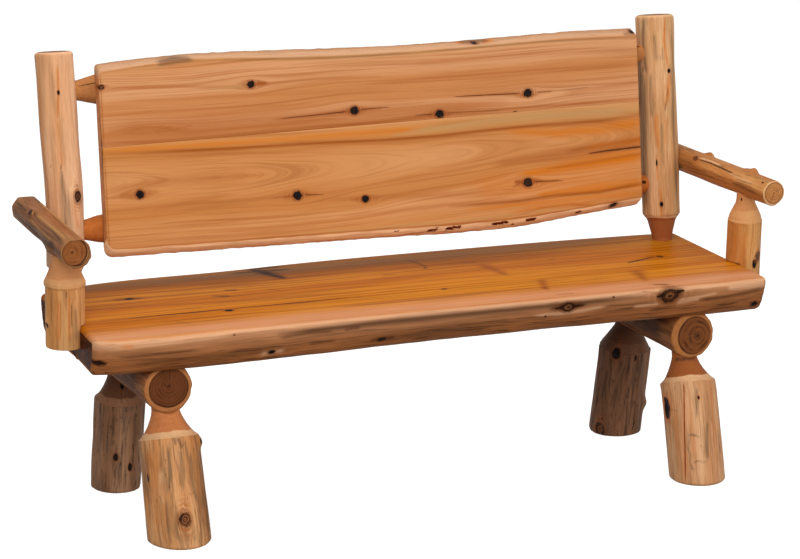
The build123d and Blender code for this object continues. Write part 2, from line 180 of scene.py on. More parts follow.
def closedPiece(name, rings, fields, material, node):
    # quads between neighbouring rings, and a fan to the middle of the first and the last ring
    rows, columns = rings.shape[:2]
    count = rows * columns
    points = np.concatenate([rings.reshape(-1, 3), rings[0].mean(0)[None], rings[-1].mean(0)[None]])
    points = np.clip(points, boxLow, boxHigh)
    index = np.arange(count).reshape(rows, columns)
    beside = np.roll(index, -1, 1)
    quads = np.stack([index[:-1], beside[:-1], beside[1:], index[1:]], -1).reshape(-1, 4)
    fans = np.concatenate([
        np.stack([beside[0], index[0], np.full(columns, count)], -1),
        np.stack([index[-1], beside[-1], np.full(columns, count + 1)], -1),
    ])
    a, b, c = points[quads[:, 0]], points[quads[:, 1]], points[quads[:, 2]]
    if (a * np.cross(b, c)).sum() < 0:  # inside out
        quads, fans = quads[:, ::-1], fans[:, ::-1]
    corners = np.concatenate([quads.ravel(), fans.ravel()])
    starts = np.concatenate([np.arange(len(quads)) * 4, len(quads) * 4 + np.arange(len(fans)) * 3])
    mesh = bpy.data.meshes.new(name)
    mesh.vertices.add(len(points))
    mesh.vertices.foreach_set("co", points.astype(np.float32).ravel())
    mesh.loops.add(len(corners))
    mesh.loops.foreach_set("vertex_index", corners.astype(np.int32))
    mesh.polygons.add(len(starts))
    mesh.polygons.foreach_set("loop_start", starts.astype(np.int32))
    mesh.polygons.foreach_set("use_smooth", np.ones(len(starts), bool))
    mesh.update(calc_edges=True)
    for key, field in fields.items():
        values = np.concatenate([field.reshape(-1, 3), field[0].mean(0)[None], field[-1].mean(0)[None]])
        values = values.astype(np.float32).ravel()
        mesh.attributes.new(key, "FLOAT_VECTOR", "POINT").data.foreach_set("vector", values)
    piece = bpy.data.objects.new(name, mesh)
    bpy.context.scene.collection.objects.link(piece)
    mesh.materials.append(material)
    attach(piece, "root")
    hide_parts(node)


capShares = np.array([0.12, 0.3, 0.5, 0.7, 0.85, 0.95, 0.985])[:, None, None]
capParts = slice(0, len(capShares)), slice(-len(capShares), None)


def capRings(rings):
    # each end closes flat: copies of its ring drawn in to its middle
    first, last = rings[0], rings[-1]
    start = first.mean(0) + (first - first.mean(0)) * capShares
    end = last.mean(0) + (last - last.mean(0)) * capShares[::-1]
    return np.concatenate([start, rings, end])


def capFields(fields):
    # the ends carry the grain to their middle, are marked as sawn, and hold none of the side's strokes
    fields = {key: capRings(field) for key, field in fields.items()}
    for part in capParts:
        fields["cut"][part, :, 0] = 1
        for key, empty in (("dark", (0, 9, 0)), ("tint", 0), ("band", 0)):
            fields[key][part] = empty
    return fields


def roundedEnd(depth, back, radius):  # a quarter round: profile points from the end face in to full size
    return [(back * (1 - cos(a)), radius - depth * (1 - sin(a))) for a in np.linspace(0, pi / 2, 6)]


def turnedRound(points, length):  # the same end at the far end of a piece
    return [(length - distance, size) for distance, size in points[::-1]]


def logPiece(name, log, material, node):
    # point = centre line + radius * (cos(angle) * outward + sin(angle) * sideways), where
    # radius = profile(distance), cut back to flat facets, + lumps + ripple; the centre line bends by the bow
    along = unit(log["along"])
    outward = np.asarray(log["outward"], float)
    outward = unit(outward - along * (outward @ along))
    sideways = np.cross(along, outward)
    stops, sizes = np.array(log["profile"], float).T
    full = log["radius"]
    distance = fillSteps(stops, log["step"])[:, None]
    angle = np.linspace(0, 2 * pi, log["columns"], endpoint=False)[None, :]
    size = np.interp(distance, stops, sizes) + 0 * angle
    onNeck = 0 * size
    for a, b in log["turned"]:
        inside = np.clip((distance - a) / mm + 1, 0, 1) * np.clip((b - distance) / mm + 1, 0, 1)
        onNeck = np.maximum(onNeck, inside)
    bark = np.clip((size / full - 0.93) / 0.06, 0, 1) * (1 - onNeck)
    bevel = np.clip((0.985 - size / full) / 0.03, 0, 1) * (1 - onNeck)
    size = size + bark * ripple(log["seed"], angle, distance, log["uneven"])
    size = size + bark * ripple(log["seed"] + 100, angle, distance, log["peel"], (5, 17), (4, 40))
    for turn, depth, softness in scaledRows(log["facets"], 1, mm, mm):
        off = wrapAngle(angle - radians(turn))
        plane = (full - depth) / np.maximum(np.cos(off), 0.2) + 0.04 * onNeck
        size = -softness * np.log(np.exp(-(size - full) / softness) + np.exp(-(plane - full) / softness)) + full
    for place, turn, height, halfLength, halfWidth in scaledRows(log["lumps"], mm, 1, mm, mm, mm):
        off = full * wrapAngle(angle - radians(turn))
        size = size + height * bump(distance - place, halfLength) * bump(off, halfWidth)
    grainTurn = angle + 0 * distance
    for place, turn, knotSize, stretch in scaledRows(log["knots"], mm, 1, mm, 1, 1, 1)[:, :4]:
        # a dished knot in a raised ring
        off = full * wrapAngle(angle - radians(turn))
        away = np.hypot((distance - place) / stretch, off)
        dish = 0.10 * bump(away - 1.35 * knotSize, 0.5 * knotSize) - 0.12 * bump(away, 0.8 * knotSize)
        size = size + knotSize * dish
        spread = ((distance - place) / (1.6 * stretch)) ** 2 + off ** 2 + 0.7 * knotSize ** 2
        grainTurn = grainTurn - off / full * (1.5 * knotSize ** 2 / spread)
    share = size / full
    if log["levelFoot"]:
        rise = outward[2] * np.cos(angle) + sideways[2] * np.sin(angle)
        foot = -size[:1] * rise / along[2]
        distance = distance + foot * np.clip(1 - distance / log["levelFoot"], 0, 1)
    distance = distance + 0 * angle
    bowPlaces, *bows = scaledRows(log["bow"], mm, mm, mm).T
    smooth = np.linspace(bowPlaces[0], bowPlaces[-1], 60)
    soften = [np.convolve(np.pad(np.interp(smooth, bowPlaces, shift), 4, "edge"), np.ones(9) / 9, "valid")
              for shift in bows]
    bend = [np.interp(distance, smooth, shift)[..., None] for shift in soften]
    x, y = size * np.cos(angle), size * np.sin(angle)
    rings = (np.asarray(log["start"], float) + distance[..., None] * along
             + (x[..., None] + bend[0]) * outward + (y[..., None] + bend[1]) * sideways)
    for trim in log["trims"]:
        rings = trim(rings)
    turned = np.zeros_like(size)
    for a, b in log["turned"]:
        turned = np.where((distance >= a) & (distance <= b), 1, turned)
    strokes = strokeList(log["strokes"], mm, radians(1) * full, mm)
    fields = capFields({
        "wood": np.stack([size * np.cos(grainTurn), size * np.sin(grainTurn), distance], -1),
        "skin": np.stack([full * np.cos(angle) + 0 * size, full * np.sin(angle) + 0 * size, distance], -1),
        "cut": np.stack([bevel, turned, share], -1),
        **markFields(distance, full * wrapAngle(angle) + 0 * distance, strokes, full),
    })
    pithX, pithY = log["pithAt"]
    for part in capParts:
        woodX, woodY = fields["wood"][part, :, 0], fields["wood"][part, :, 1]
        inward = 1 - np.clip((woodX ** 2 + woodY ** 2) / full ** 2, 0, 1)
        fields["cut"][part, :, 2] = np.hypot(woodX - pithX * inward, woodY - pithY * inward) / full
        fields["skin"][part, :, :2] = 9
    closedPiece(name, capRings(rings), fields, material, node)


def wave(points, column, share):
    # a live edge's line in metres: a smooth curve through the given points
    places, heights = np.array(points, float)[:, [0, column]].T
    slopes = np.gradient(heights, places)
    k = np.clip(np.searchsorted(places, share) - 1, 0, len(places) - 2)
    gap = places[k + 1] - places[k]
    t = (share - places[k]) / gap
    return (heights[k] * (1 + 2 * t) * (1 - t) ** 2 + heights[k + 1] * t * t * (3 - 2 * t)
            + gap * slopes[k] * t * (1 - t) ** 2 + gap * slopes[k + 1] * t * t * (t - 1)) / 1000


def easeEnds(stations, half, across, up, ease, hold):
    # near an end the section draws in along its inward normals by ease - sqrt(ease^2 - (ease - end distance)^2)
    endDistance = np.clip(half - np.abs(stations), 0, ease)
    drawn = (ease - np.sqrt(np.maximum(ease ** 2 - (ease - endDistance) ** 2, 0)))[:, None]
    runAcross = np.roll(across, -1, 1) - np.roll(across, 1, 1)
    runUp = np.roll(up, -1, 1) - np.roll(up, 1, 1)
    length = np.hypot(runAcross, runUp) + 1e-9
    area = (across * np.roll(up, -1, 1) - np.roll(across, -1, 1) * up).sum(1)[:, None]
    turn = np.sign(area) * hold[None, :]
    return across - turn * runUp / length * drawn, up + turn * runAcross / length * drawn


def joinParts(*parts):  # each part of a section brings its columns, which are set side by side
    return [np.concatenate(columns, 1) for columns in zip(*(np.broadcast_arrays(*part) for part in parts))]


# Wood is painted by each piece's own grain.


def paint(red, green, blue):  # a colour as it looks on screen, 0 to 255
    return tuple((c / 255 / 12.92) if c < 10.3 else ((c / 255 + 0.055) / 1.055) ** 2.4
                 for c in (red, green, blue)) + (1,)


def paints(look):  # every (red, green, blue) of a look made a colour, its numbers left alone
    return {key: paint(*value) if isinstance(value, tuple) else value for key, value in look.items()}


class Field:
    # a value that varies over the surface: + - * each add a Math node
    def __init__(self, socket):
        self.socket = socket

    def __add__(self, other):
        return calc("ADD", self, other)

    def __sub__(self, other):
        return calc("SUBTRACT", self, other)

    def __mul__(self, other):
        return calc("MULTIPLY", self, other)


sheet = {"tree": None}  # the node tree that is being written


def node(kind, inputs=(), output=0, **settings):
    made = sheet["tree"].nodes.new("ShaderNode" + kind)
    for key, value in settings.items():
        setattr(made, key, value)
    for place, value in inputs.items() if isinstance(inputs, dict) else enumerate(inputs):
        if isinstance(value, Field):
            sheet["tree"].links.new(value.socket, made.inputs[place])
        else:
            made.inputs[place].default_value = value
    return [Field(socket) for socket in made.outputs] if output is None else Field(made.outputs[output])


def calc(operation, *values):
    return node("Math", values, operation=operation)


def fold(operation, values):  # many values made one, a Math node at a time
    return reduce(lambda first, second: calc(operation, first, second), values)


def blend(factor, base, over):
    return node("Mix", {0: factor, 6: base, 7: over}, 2, data_type="RGBA")


def coats(colour, look, *layers):  # lays each tone over the colour by its mask
    for mask, tone in layers:
        colour = blend(mask, colour, look[tone])
    return colour


def between(value, low, high, start=0.0, end=1.0):  # smooth step
    return node("MapRange", (value, low, high, start, end), interpolation_type="SMOOTHSTEP")


def capped(value):  # no more than 1
    return calc("MINIMUM", value, 1.0)


def split(vector):
    return node("SeparateXYZ", (vector,), None)


def read(name):
    return node("Attribute", output="Vector", attribute_name=name)


def fibres(grain, scale, seed, detail=3.0, rough=0.55):
    # noise drawn out along the grain: one frequency per metre for each way of the wood
    stretched = node("VectorMath", (grain, scale), operation="MULTIPLY")
    moved = node("VectorMath", (stretched, (seed * 1.7, seed * 3.1, seed * 0.9)), operation="ADD")
    return node("TexNoise", {"Vector": moved, "Scale": 1.0, "Detail": detail, "Roughness": rough})


def newMaterial(name):
    material = bpy.data.materials.new(name)
    material.use_nodes = True
    sheet["tree"] = material.node_tree
    sheet["tree"].nodes.clear()
    return material


def finish(colour, rough, height, distance=1.0, **plain):
    normal = node("Bump", {"Strength": 1.0, "Distance": distance, "Height": height})
    shader = node("BsdfPrincipled", {"Base Color": colour, "Roughness": rough, "Normal": normal, **plain})
    node("OutputMaterial", (shader,), None)


def finishWood(colour, rough, bumps, specular):  # the bump is the sum of each value times its depth
    depths = [value * depth for value, depth in bumps]
    finish(colour, rough, sum(depths[1:], depths[0]), **{"Specular IOR Level": specular})


def ellipseAway(place, centre, halfSizes):  # distance from a knot's middle over its size
    offset = node("VectorMath", (place, centre), operation="SUBTRACT")
    scaled = node("VectorMath", (offset, tuple(1 / size for size in halfSizes)), operation="MULTIPLY")
    return node("VectorMath", (scaled,), 1, operation="LENGTH")


knotTones = paints({
    "ringDark": (70, 38, 22), "ringPale": (138, 86, 50), "black": (14, 9, 7), "blackBrown": (62, 34, 20),
    "outline": (26, 15, 9), "outlineBrown": (96, 54, 28),
})


def knotsAndCracks(colour, grain, place, seed, dark, knots, look, longAxis):
    # each knot: centre, half sizes, tone (0 black to 1 brown with rings), glow of the wood round it
    haze = fibres(grain, look["knotNoise"], seed + 3)
    knotMask = haze * 0.0
    if knots:
        aways = [ellipseAway(place, centre, halfSizes) for centre, halfSizes, *_ in knots]
        tones = [between(away, 2.0, 1.5) * knot[2] for away, knot in zip(aways, knots) if knot[2]]
        halos = []
        for centre, halfSizes, _, glow in knots:
            spread = [size * (4.4 if axis == longAxis else 1.9) for axis, size in enumerate(halfSizes)]
            halos.append(between(ellipseAway(place, centre, spread), 1.0, 0.15) * glow)
        shaped = fold("MINIMUM", aways) + (haze - 0.5) * look["knotRagged"]
        lines = calc("SINE", shaped * 9.0)
        glowing = fold("MAXIMUM", halos) * between(lines, -1.6, 0.9) * (haze + 0.45)
        colour = blend(capped(glowing), colour, look["haloColour"])
        core = blend(between(haze, 0.52, 0.76), knotTones["black"], knotTones["blackBrown"])
        outline = knotTones["outline"]
        if tones:
            tone = fold("MAXIMUM", tones)
            rings = calc("SINE", shaped * 15.0)
            core = blend(tone, core, blend(between(rings, -0.5, 0.9), knotTones["ringDark"], knotTones["ringPale"]))
            outline = blend(between(tone, 0.85, 1.0), outline, knotTones["outlineBrown"])
        core = blend(between(shaped, 0.7, 0.98), core, outline)
        colour = blend(between(shaped, 1.75, 1.1) * 0.6, colour, look["rimColour"])
        knotMask = between(shaped, 1.16, 0.98)
        colour = blend(knotMask, colour, core)
    edge = calc("ABSOLUTE", dark[1] + (haze - 0.5) * 1.6)
    crackMask = capped(between(edge, 1.1, 0.35) * between(dark[2], 0.12, 0.5))
    colour = coats(colour, look, (between(edge, 5.0, 0.8) * dark[2] * 0.45, "rimColour"), (crackMask, "crackColour"))
    return colour, knotMask, crackMask


def readPiece(piece, name):
    material = newMaterial(name)
    return material, float(piece["seed"]), read("wood"), read("skin"), *(
        split(read(key)) for key in ("cut", "tint", "dark", "band"))


def peeledWood(name, log, look):
    material, seed, grain, place, cut, tint, dark, band = readPiece(log, name)
    across, upward, lengthwise = split(grain)
    # the peeled outside: pale sapwood, broad warm bands, streaks, long lines, and flecks of inner bark
    broad = fibres(grain, (26, 26, 3.0), seed, 2.0)
    streaks = fibres(grain, (130, 130, 9), seed + 1, 5.0, 0.66)
    longLines = fibres(grain, (300, 300, 5), seed + 7, 3.0, 0.6)
    fine = fibres(grain, (620, 620, 40), seed + 2, 2.0, 0.6)
    patch = fibres(grain, (30, 30, 7), seed + 6)
    flecks = fibres(grain, (230, 230, 48), seed + 8, 2.0)
    warp = fibres(grain, (36, 36, 5), seed + 9, 2.0)
    sawMarks = fibres(grain, (160, 160, 160), seed + 12)
    texture = between(streaks, 0.36, 0.56, 0.55, 1.0)
    scratch = between(fine, 0.42, 0.72)
    smudge = between(streaks * 0.4 + patch * 0.6, look["greyFrom"], look["greyFrom"] + 0.09)
    fleckMask = between(flecks, look["fleckFrom"], look["fleckFrom"] + 0.03) * look["fleckShare"]
    colour = coats(
        blend(between(broad, 0.38, 0.62), look["pale"], look["warm"]), look,
        (between(longLines, 0.5, 0.66) * look["lineShare"], "streak"),
        (between(streaks, 0.5, 0.66) * look["streakShare"], "streakDark"),
        (smudge * look["greyShare"], "grey"),
        # tint[1] grey strokes are grey streaks, and on the right back post the back board's painted shadow; band[0]
        # brown strokes are dark streaks, and on the cross logs painted shade under the seat
        *((capped(mask * texture), tone) for mask, tone in (
            (tint[2], "fresh"), (tint[0], "orange"), (tint[1], "greyStroke"), (band[0], "streakDark"))),
        (fleckMask, "fleckColour"), (scratch * 0.22, "streakDark"))
    # heartwood where the log is turned down or sawn: darker, with soft growth rings
    rings = calc("SINE", cut[2] * look["rings"] + warp * look["ringWarp"])
    ringShare = between(rings, -0.9, 0.9) * between(warp, 0.25, 0.75)
    turning = calc("SINE", lengthwise * 3800.0)
    neck = coats(
        blend(ringShare * look["neckRings"], look["heartPale"], look["heart"]), look,
        (between(turning, -0.2, 1.0) * between(warp, 0.4, 0.6) * 0.25, "heart"), (scratch * 0.25, "heart"))
    sawn = coats(
        blend(ringShare, look["endPale"], look["endHeart"]), look,
        (between(cut[2], 0.14, 0.03), "pith"), (between(sawMarks, 0.5, 0.7) * 0.35, "endHeart"))
    edge = cut[2] + (warp - 0.5) * look["jag"]
    sapFrom = look["sapFrom"]
    inside = between(edge, sapFrom, sapFrom - 0.03) * capped(cut[0] + cut[1])
    ringEdge = between(edge, sapFrom - 0.12, sapFrom - 0.03) * between(edge, sapFrom + 0.01, sapFrom - 0.01)
    colour = coats(colour, look, (cut[1] * 0.75, "fresh"), (cut[0] * texture * 0.8, "rim"))
    colour = blend(inside, colour, blend(cut[0], neck, sawn))
    colour = coats(colour, look, (ringEdge * cut[0] * look["ringEdge"], "pith"))
    for turn, start, end, width in scaledRows(look["splits"], radians(1), mm, mm, mm):  # checks in the sawn end
        off = calc("ABSOLUTE", across * -sin(turn) + upward * cos(turn))
        ahead = across * cos(turn) + upward * sin(turn)
        narrow = between(off, width, width * 0.3)
        long = narrow * between(ahead, start - 0.002, start + 0.001) * between(ahead, end, end - 0.003)
        colour = coats(colour, look, (long * cut[0], "split"))
    # dark[0] strokes are stains, and painted shade where they darken a leg's neck under its cross log or a cross
    # log's side under the seat
    colour = coats(colour, look, (capped(dark[0] * between(streaks, 0.3, 0.55, 0.6, 1.1)), "stain"))
    radius = log["radius"]
    knots = [((radius * cos(turn), radius * sin(turn), u), (size, size, size * stretch), tone, glow)
             for u, turn, size, stretch, tone, glow in scaledRows(log["knots"], mm, radians(1), mm, 1, 1, 1)]
    colour, knotMask, crackMask = knotsAndCracks(colour, grain, place, seed, dark, knots, look, 2)
    bumps = [(fine, 0.0005), (streaks, 0.0022), (longLines, 0.0007), (knotMask, -0.0010), (crackMask, -0.0016),
             (turning * cut[1], 0.00006), (fleckMask, -0.0004)]
    finishWood(colour, between(streaks, 0.3, 0.7, look["rough"], look["rough"] + 0.14), bumps, look["specular"])
    return material


def slabWood(name, slab, look):
    # sawn plank: fine straight lines and broad bands that follow the grain field, bark side at a live edge
    material, seed, grain, place, cut, tint, dark, band = readPiece(slab, name)
    rings = split(grain)[1]
    broad = fibres(grain, (0.7, 19, 3), seed, 1.5)
    bands = fibres(grain, (1.5, 90, 8), seed + 1)
    lines = fibres(grain, (2.6, 260, 16), seed + 2, 3.0, 0.65)
    hair = fibres(grain, (7, 1100, 60), seed + 4, 2.0)
    bark = fibres(grain, (7, 80, 110), seed + 6, 4.0, 0.6)
    barkLines = fibres(grain, (9, 170, 330), seed + 7)
    spots = fibres(place, (90, 260, 260), seed + 9, 3.0, 0.6)
    sawMarks = fibres(grain, (1, 60, 60), seed + 11)
    texture = between(lines, 0.3, 0.6, 0.7, 1.0)
    colour = coats(
        blend(between(broad, 0.38, 0.62), look["pale"], look["warm"]), look,
        (between(bands, 0.5, 0.64) * look["bandShare"], "band"),
        (between(lines, 0.48, 0.66) * look["lineShare"], "line"),
        # on the seat, tint[2] lays the painted highlight along the front of the top, and tint[1] the painted shade
        # along the rear edge
        *((capped(mask * texture), tone) for mask, tone in (
            (tint[2], "light"), (band[0], "brown"), (tint[0], "orange"), (band[1], "deep"), (tint[1], "grey"))),
        (between(hair, 0.45, 0.7) * look["hairShare"], "line"))
    # the live edge: pale under the arris, which is a painted highlight on the seat's front edge and painted light on
    # the lower board's downward bevel; browner and streakier further down
    lower = cut[2] + (bark - 0.5) * look["liveRagged"]
    flakes = between(band[2] + (spots - 0.5) * 1.7, 0.52, 0.64)
    live = coats(
        blend(between(lower, look["liveFrom"], look["liveTo"]), look["livePale"], look["liveDark"]), look,
        (between(barkLines, 0.5, 0.66) * between(lower, 0.1, 0.6, 0.15, 1.0) * look["liveStreaks"], "liveStreak"),
        (between(bark, 0.6, 0.72) * look["liveStreaks"], "liveStreak"),
        (capped(tint[2]), "livePale"), (capped(tint[0]), "orange"), (capped(band[0]), "liveStreak"),
        (flakes * between(band[2], 0.15, 0.35), "flake"))
    # sawn ends: arcs of growth rings
    arcs = calc("SINE", rings * 1500.0 + bark * 6.0)
    endGrain = blend(between(arcs, -0.8, 0.8), look["endDark"], look["endPale"])
    endGrain = coats(endGrain, look, (between(sawMarks, 0.42, 0.6), "endDark"))
    stain = capped(dark[0] * between(lines, 0.3, 0.6, 0.7, 1.05))
    colour = coats(blend(cut[0], blend(cut[1], colour, live), endGrain), look, (stain, "stain"))
    colour, knotMask, crackMask = knotsAndCracks(colour, grain, place, seed, dark, slab["knotShapes"], look, 0)
    bumps = [(lines, 0.00014), (hair, 0.00005), (knotMask, -0.0006), (crackMask, -0.0012), (bark * cut[1], 0.003)]
    finishWood(colour, between(cut[1], 0.0, 1.0, look["rough"], 0.5), bumps, look["specular"])
    return material


logTones = {
    "pale": (214, 164, 120), "warm": (200, 142, 94), "streak": (186, 114, 58), "streakDark": (132, 92, 62),
    "grey": (132, 102, 72), "greyStroke": (108, 84, 60), "orange": (190, 106, 40), "fresh": (226, 178, 132),
    "stain": (66, 46, 32), "heart": (132, 66, 30), "heartPale": (182, 106, 56), "endHeart": (82, 44, 24),
    "endPale": (126, 76, 44), "pith": (52, 28, 16), "rim": (206, 150, 98), "haloColour": (160, 88, 38),
    "fleckColour": (70, 44, 28), "split": (36, 20, 12), "crackColour": (40, 22, 12), "rimColour": (110, 58, 28),
    "knotRagged": 1.1, "knotNoise": [240, 240, 70], "lineShare": 0.45, "streakShare": 0.5, "greyFrom": 0.54,
    "greyShare": 0.5, "fleckFrom": 0.7, "fleckShare": 0.7, "rings": 70, "ringWarp": 22, "neckRings": 0.35,
    "ringEdge": 0.55, "sapFrom": 0.86, "jag": 0.1, "rough": 0.46, "specular": 0.06, "splits": [],
}

# facets: turn, depth, softness. lumps: place, turn, height, half length, half width. bow: place, out, sideways.
# knots: place, turn, size, how long for its width, tone from black to brown, glow of the wood round it.
# splits: turn, start, end, half width. strokes: see strokeList.
logShape = dict(
    columns=144, step=0.0026, uneven=0.0014, peel=0.0007, levelFoot=0, pithAt=(0, 0), bow=[(0, 0, 0), (1000, 0, 0)],
    turned=[], facets=[], lumps=[], knots=[], trims=[], strokes={})


def buildLog(node, log, **tones):  # back_post_left becomes backPostLeft
    first, *others = node.split("_")
    name = first + "".join(word.title() for word in others)
    log = {**logShape, **log}
    logPiece(name, log, peeledWood(name + "Wood", log, paints({**logTones, **tones, **log["wood"]})), node)


# back posts

posts = {
    "back_post_left": dict(
        side=-1, radius=0.0405, seed=11,
        bow=[(0, 0, 0), (90, 0, 2), (200, 0, 7), (260, 0, 6.5), (360, 0, 1.5), (560, 0, 0)],
        lumps=[(235, 23, 3, 24, 18)],
        knots=[(457, -10, 2.6, 1.8, 0, 0.5), (236, 23, 7, 1.5, 0.45, 0.9)],
        strokes={
            "orange": [(0.9, 515,-7,2.2, 460,-10,3, 400,-18,2.2), (0.5, 400,-18,3, 300,-14,3),
             (0.5, 222,8,4, 170,22,4), (0.45, 500,-75,6, 200,-70,6)],
            "grey": [(0.75, 300,-22,1.6, 274,-20,4.5, 230,-17,10, 180,-12,12, 140,-14,8), (0.4, 190,55,4, 150,52,4)],
            "stain": [(0.8, 307,-19,1, 296,-20,1), (0.7, 252,18,1.4, 238,16,2, 222,21,1.5),
             (0.6, 262,24,1.2, 250,24,2)],
            "pale": [(0.9, 285,20,4, 262,10,5, 245,0,6)],
        },
        wood=dict(pale=(222, 172, 132), warm=(212, 156, 112), streak=(198, 132, 78), streakDark=(168, 116, 78),
            streakShare=0.3, greyShare=0.15, fleckFrom=0.76),
    ),
    "back_post_right": dict(
        side=1, radius=0.043, seed=12,
        lumps=[(100, -70, -3, 40, 30)],
        knots=[(415, 14, 3, 1.5, 0, 0.4), (208, -35, 1.6, 4, 0, 0.6), (113, -25, 3.6, 1.4, 0, 0.6)],
        strokes={
            "orange": [(0.95, 540,8,2, 480,1,3, 458,6,3.5, 420,14,3), (1, 410,15,5, 385,12,8, 360,6,6, 335,-4,3.5),
             (0.75, 320,-32,4, 285,-33,5, 240,-30,3), (0.5, 310,0,4, 250,-6,3),
             (0.8, 230,-35,2, 190,-34,3, 165,-33,2), (0.7, 155,-25,2, 113,-25,3, 80,-25,2)],
            "pale": [(0.9, 412,2,4, 385,-1,4)],
            "stain": [(0.7, 352,3,1.4, 338,-2,2, 325,-4,1.2), (0.6, 375,8,1.5, 350,0,1.8)],
            # the grey strokes from -58 to -80 degrees lie on the post's left side: partly grey streaks of the wood,
            # partly the painted shadow of the back board
            "grey": [(0.8, 540,-60,5, 500,-66,8, 440,-62,8, 410,-58,4), (0.6, 500,-30,3.5, 440,-27,4.5),
             (0.6, 470,-5,2, 440,-6,3), (0.8, 430,-80,10, 300,-76,13, 100,-80,10),
             (0.7, 510,30,4, 420,34,6, 300,30,6, 60,34,5), (0.7, 410,-45,3, 360,-48,4, 310,-46,3),
             (0.6, 300,-15,2, 240,-17,4, 200,-14,2), (0.5, 430,22,4, 380,24,4)],
        },
        wood=dict(pale=(215, 166, 120), warm=(201, 148, 98), streak=(184, 118, 60), streakDark=(134, 94, 60),
            orange=(202, 116, 46), streakShare=0.4, greyShare=0.25, fleckFrom=0.72),
    ),
}

for name, post in posts.items():
    radius, length, tenon = post["radius"], 0.512, bench["tenon"]
    foot = np.array([post["side"] * bench["postX"], bench["postY"], bench["seatTop"]])
    post.update(
        start=foot - rakeUp * tenon, along=rakeUp, outward=(0, -1, 0), turned=[(-1, 0.086)], uneven=0.0013,
        profile=[
            (0, 0.022), (0.034, 0.022), (0.052, 0.0265), (0.072, 0.0318), (0.0765, 0.0335),
            (0.0885, radius - 0.0004), (0.093, radius), (0.3, radius), (length + 0.0215, radius),
            *turnedRound(roundedEnd(0.008, 0.008, radius), length + tenon)],
    )
    buildLog(name, post, sapFrom=0.845, neckRings=0.12, heart=(128, 66, 33), heartPale=(156, 86, 46),
             rim=post["wood"]["pale"])
print("back posts")

# back rails

rails = {
    "back_rail_upper": dict(
        climb=0.427, radius=0.036, seed=21,
        knots=[(1346, 46, 3, 1.2, 0, 0.6)],
        strokes={
            "crack": [(1, 22,62,0.9, 50,60,1, 86,62,0.8)],
            "pale": [(0.7, 64,80,6, 85,84,8)],
            "grey": [(0.6, 75,40,4, 90,50,4)],
        },
        wood=dict(pale=(198, 140, 86), warm=(182, 120, 68), heart=(142, 84, 42), heartPale=(178, 116, 66)),
    ),
    "back_rail_lower": dict(
        climb=0.13, radius=0.034, seed=22,
        knots=[(1348, 76, 4.2, 1.1, 0.3, 0.6)],
        wood=dict(pale=(196, 120, 58), warm=(176, 100, 44), heart=(148, 78, 30), heartPale=(190, 108, 48)),
    ),
}


def bedFlat(depth):  # nothing of a rail stands further forward than the back boards' bed
    def trim(rings):
        forward = (rings - rakeBase) @ rakeForward
        return rings - np.maximum(forward - depth, 0)[..., None] * rakeForward
    return trim


for name, rail in rails.items():
    radius, reach, neckEnd = rail["radius"], 0.690, 0.076
    cone = [(0, 0.02), (0.021, 0.0205), (0.035, 0.0235), (0.055, 0.0285), (0.074, radius - 0.003),
            (0.08, radius - 0.001), (0.088, radius)]
    rail.update(
        start=rakeBase + rakeUp * rail["climb"] - np.array([reach, 0, 0]), along=(1, 0, 0), outward=rakeUp,
        step=0.005, columns=112, profile=cone + turnedRound(cone, 2 * reach),
        turned=[(-1, neckEnd), (2 * reach - neckEnd, 9)], trims=[bedFlat(bench["boardBack"] - 0.0002)],
    )
    buildLog(name, rail, sapFrom=0.9, neckRings=0.2, fresh=rail["wood"]["pale"], rim=rail["wood"]["pale"])
print("back rails")

# cross logs

beams = {
    "cross_log_left": dict(
        side=-1, seed=31, pithAt=(0.008, 0.001),
        strokes={
            # the first brown stroke and the broad first stain darken the whole side towards -x: painted shade under
            # the seat
            "brown": [(1, 45,-90,52, 340,-90,52), (0.7, 40,-40,6, 200,-45,8)],
            "stain": [(0.45, 70,-70,20, 340,-74,20), (0.6, 20,-58,3, 120,-64,4), (0.5, 30,-84,3, 160,-80,4)],
        },
        wood=dict(specular=0.03, pale=(164, 106, 62), warm=(142, 88, 50), streakDark=(84, 50, 31), streakShare=0.6,
            endHeart=(82, 44, 23), endPale=(104, 58, 31), rim=(174, 112, 64), rings=50, ringWarp=9,
            splits=[(4, 22, 47, 0.9), (-38, 4, 20, 0.6)]),
    ),
    "cross_log_right": dict(
        side=1, seed=34, pithAt=(-0.002, 0.013),
        strokes={
            # the first brown stroke and the broad first stain darken the whole side towards -x: painted shade under
            # the seat
            "brown": [(1, 45,-90,52, 340,-90,52), (0.7, 50,-40,6, 200,-45,8)],
            "stain": [(0.45, 70,-70,20, 340,-74,20), (0.6, 20,-62,3, 140,-66,4), (0.6, 30,-88,3, 200,-84,4)],
        },
        wood=dict(specular=0.03, pale=(162, 104, 60), warm=(138, 84, 46), streakDark=(76, 45, 28), streakShare=0.6,
            endHeart=(72, 39, 20), endPale=(120, 69, 37), rim=(172, 110, 60), rings=27, ringWarp=7,
            splits=[(28, 2, 16, 0.8), (-70, 6, 16, 0.6)]),
    ),
}


def underSeat(rings):  # bedded flat against the seat
    rings[..., 2] = np.minimum(rings[..., 2], bench["seatUnder"] + 0.0005)
    return rings


for name, beam in beams.items():
    radius = bench["beamRadius"]
    end = roundedEnd(0.0085, 0.006, radius)
    beam.update(
        start=(beam["side"] * bench["beamX"], bench["beamFront"], bench["beamZ"]), along=(0, 1, 0),
        outward=(0, 0, 1), radius=radius, uneven=0.0011, trims=[underSeat],
        profile=end + [(0.03, radius)] + turnedRound(end, bench["beamLength"]),
    )
    buildLog(name, beam, sapFrom=0.835, jag=0.05)
print("cross logs")

# legs

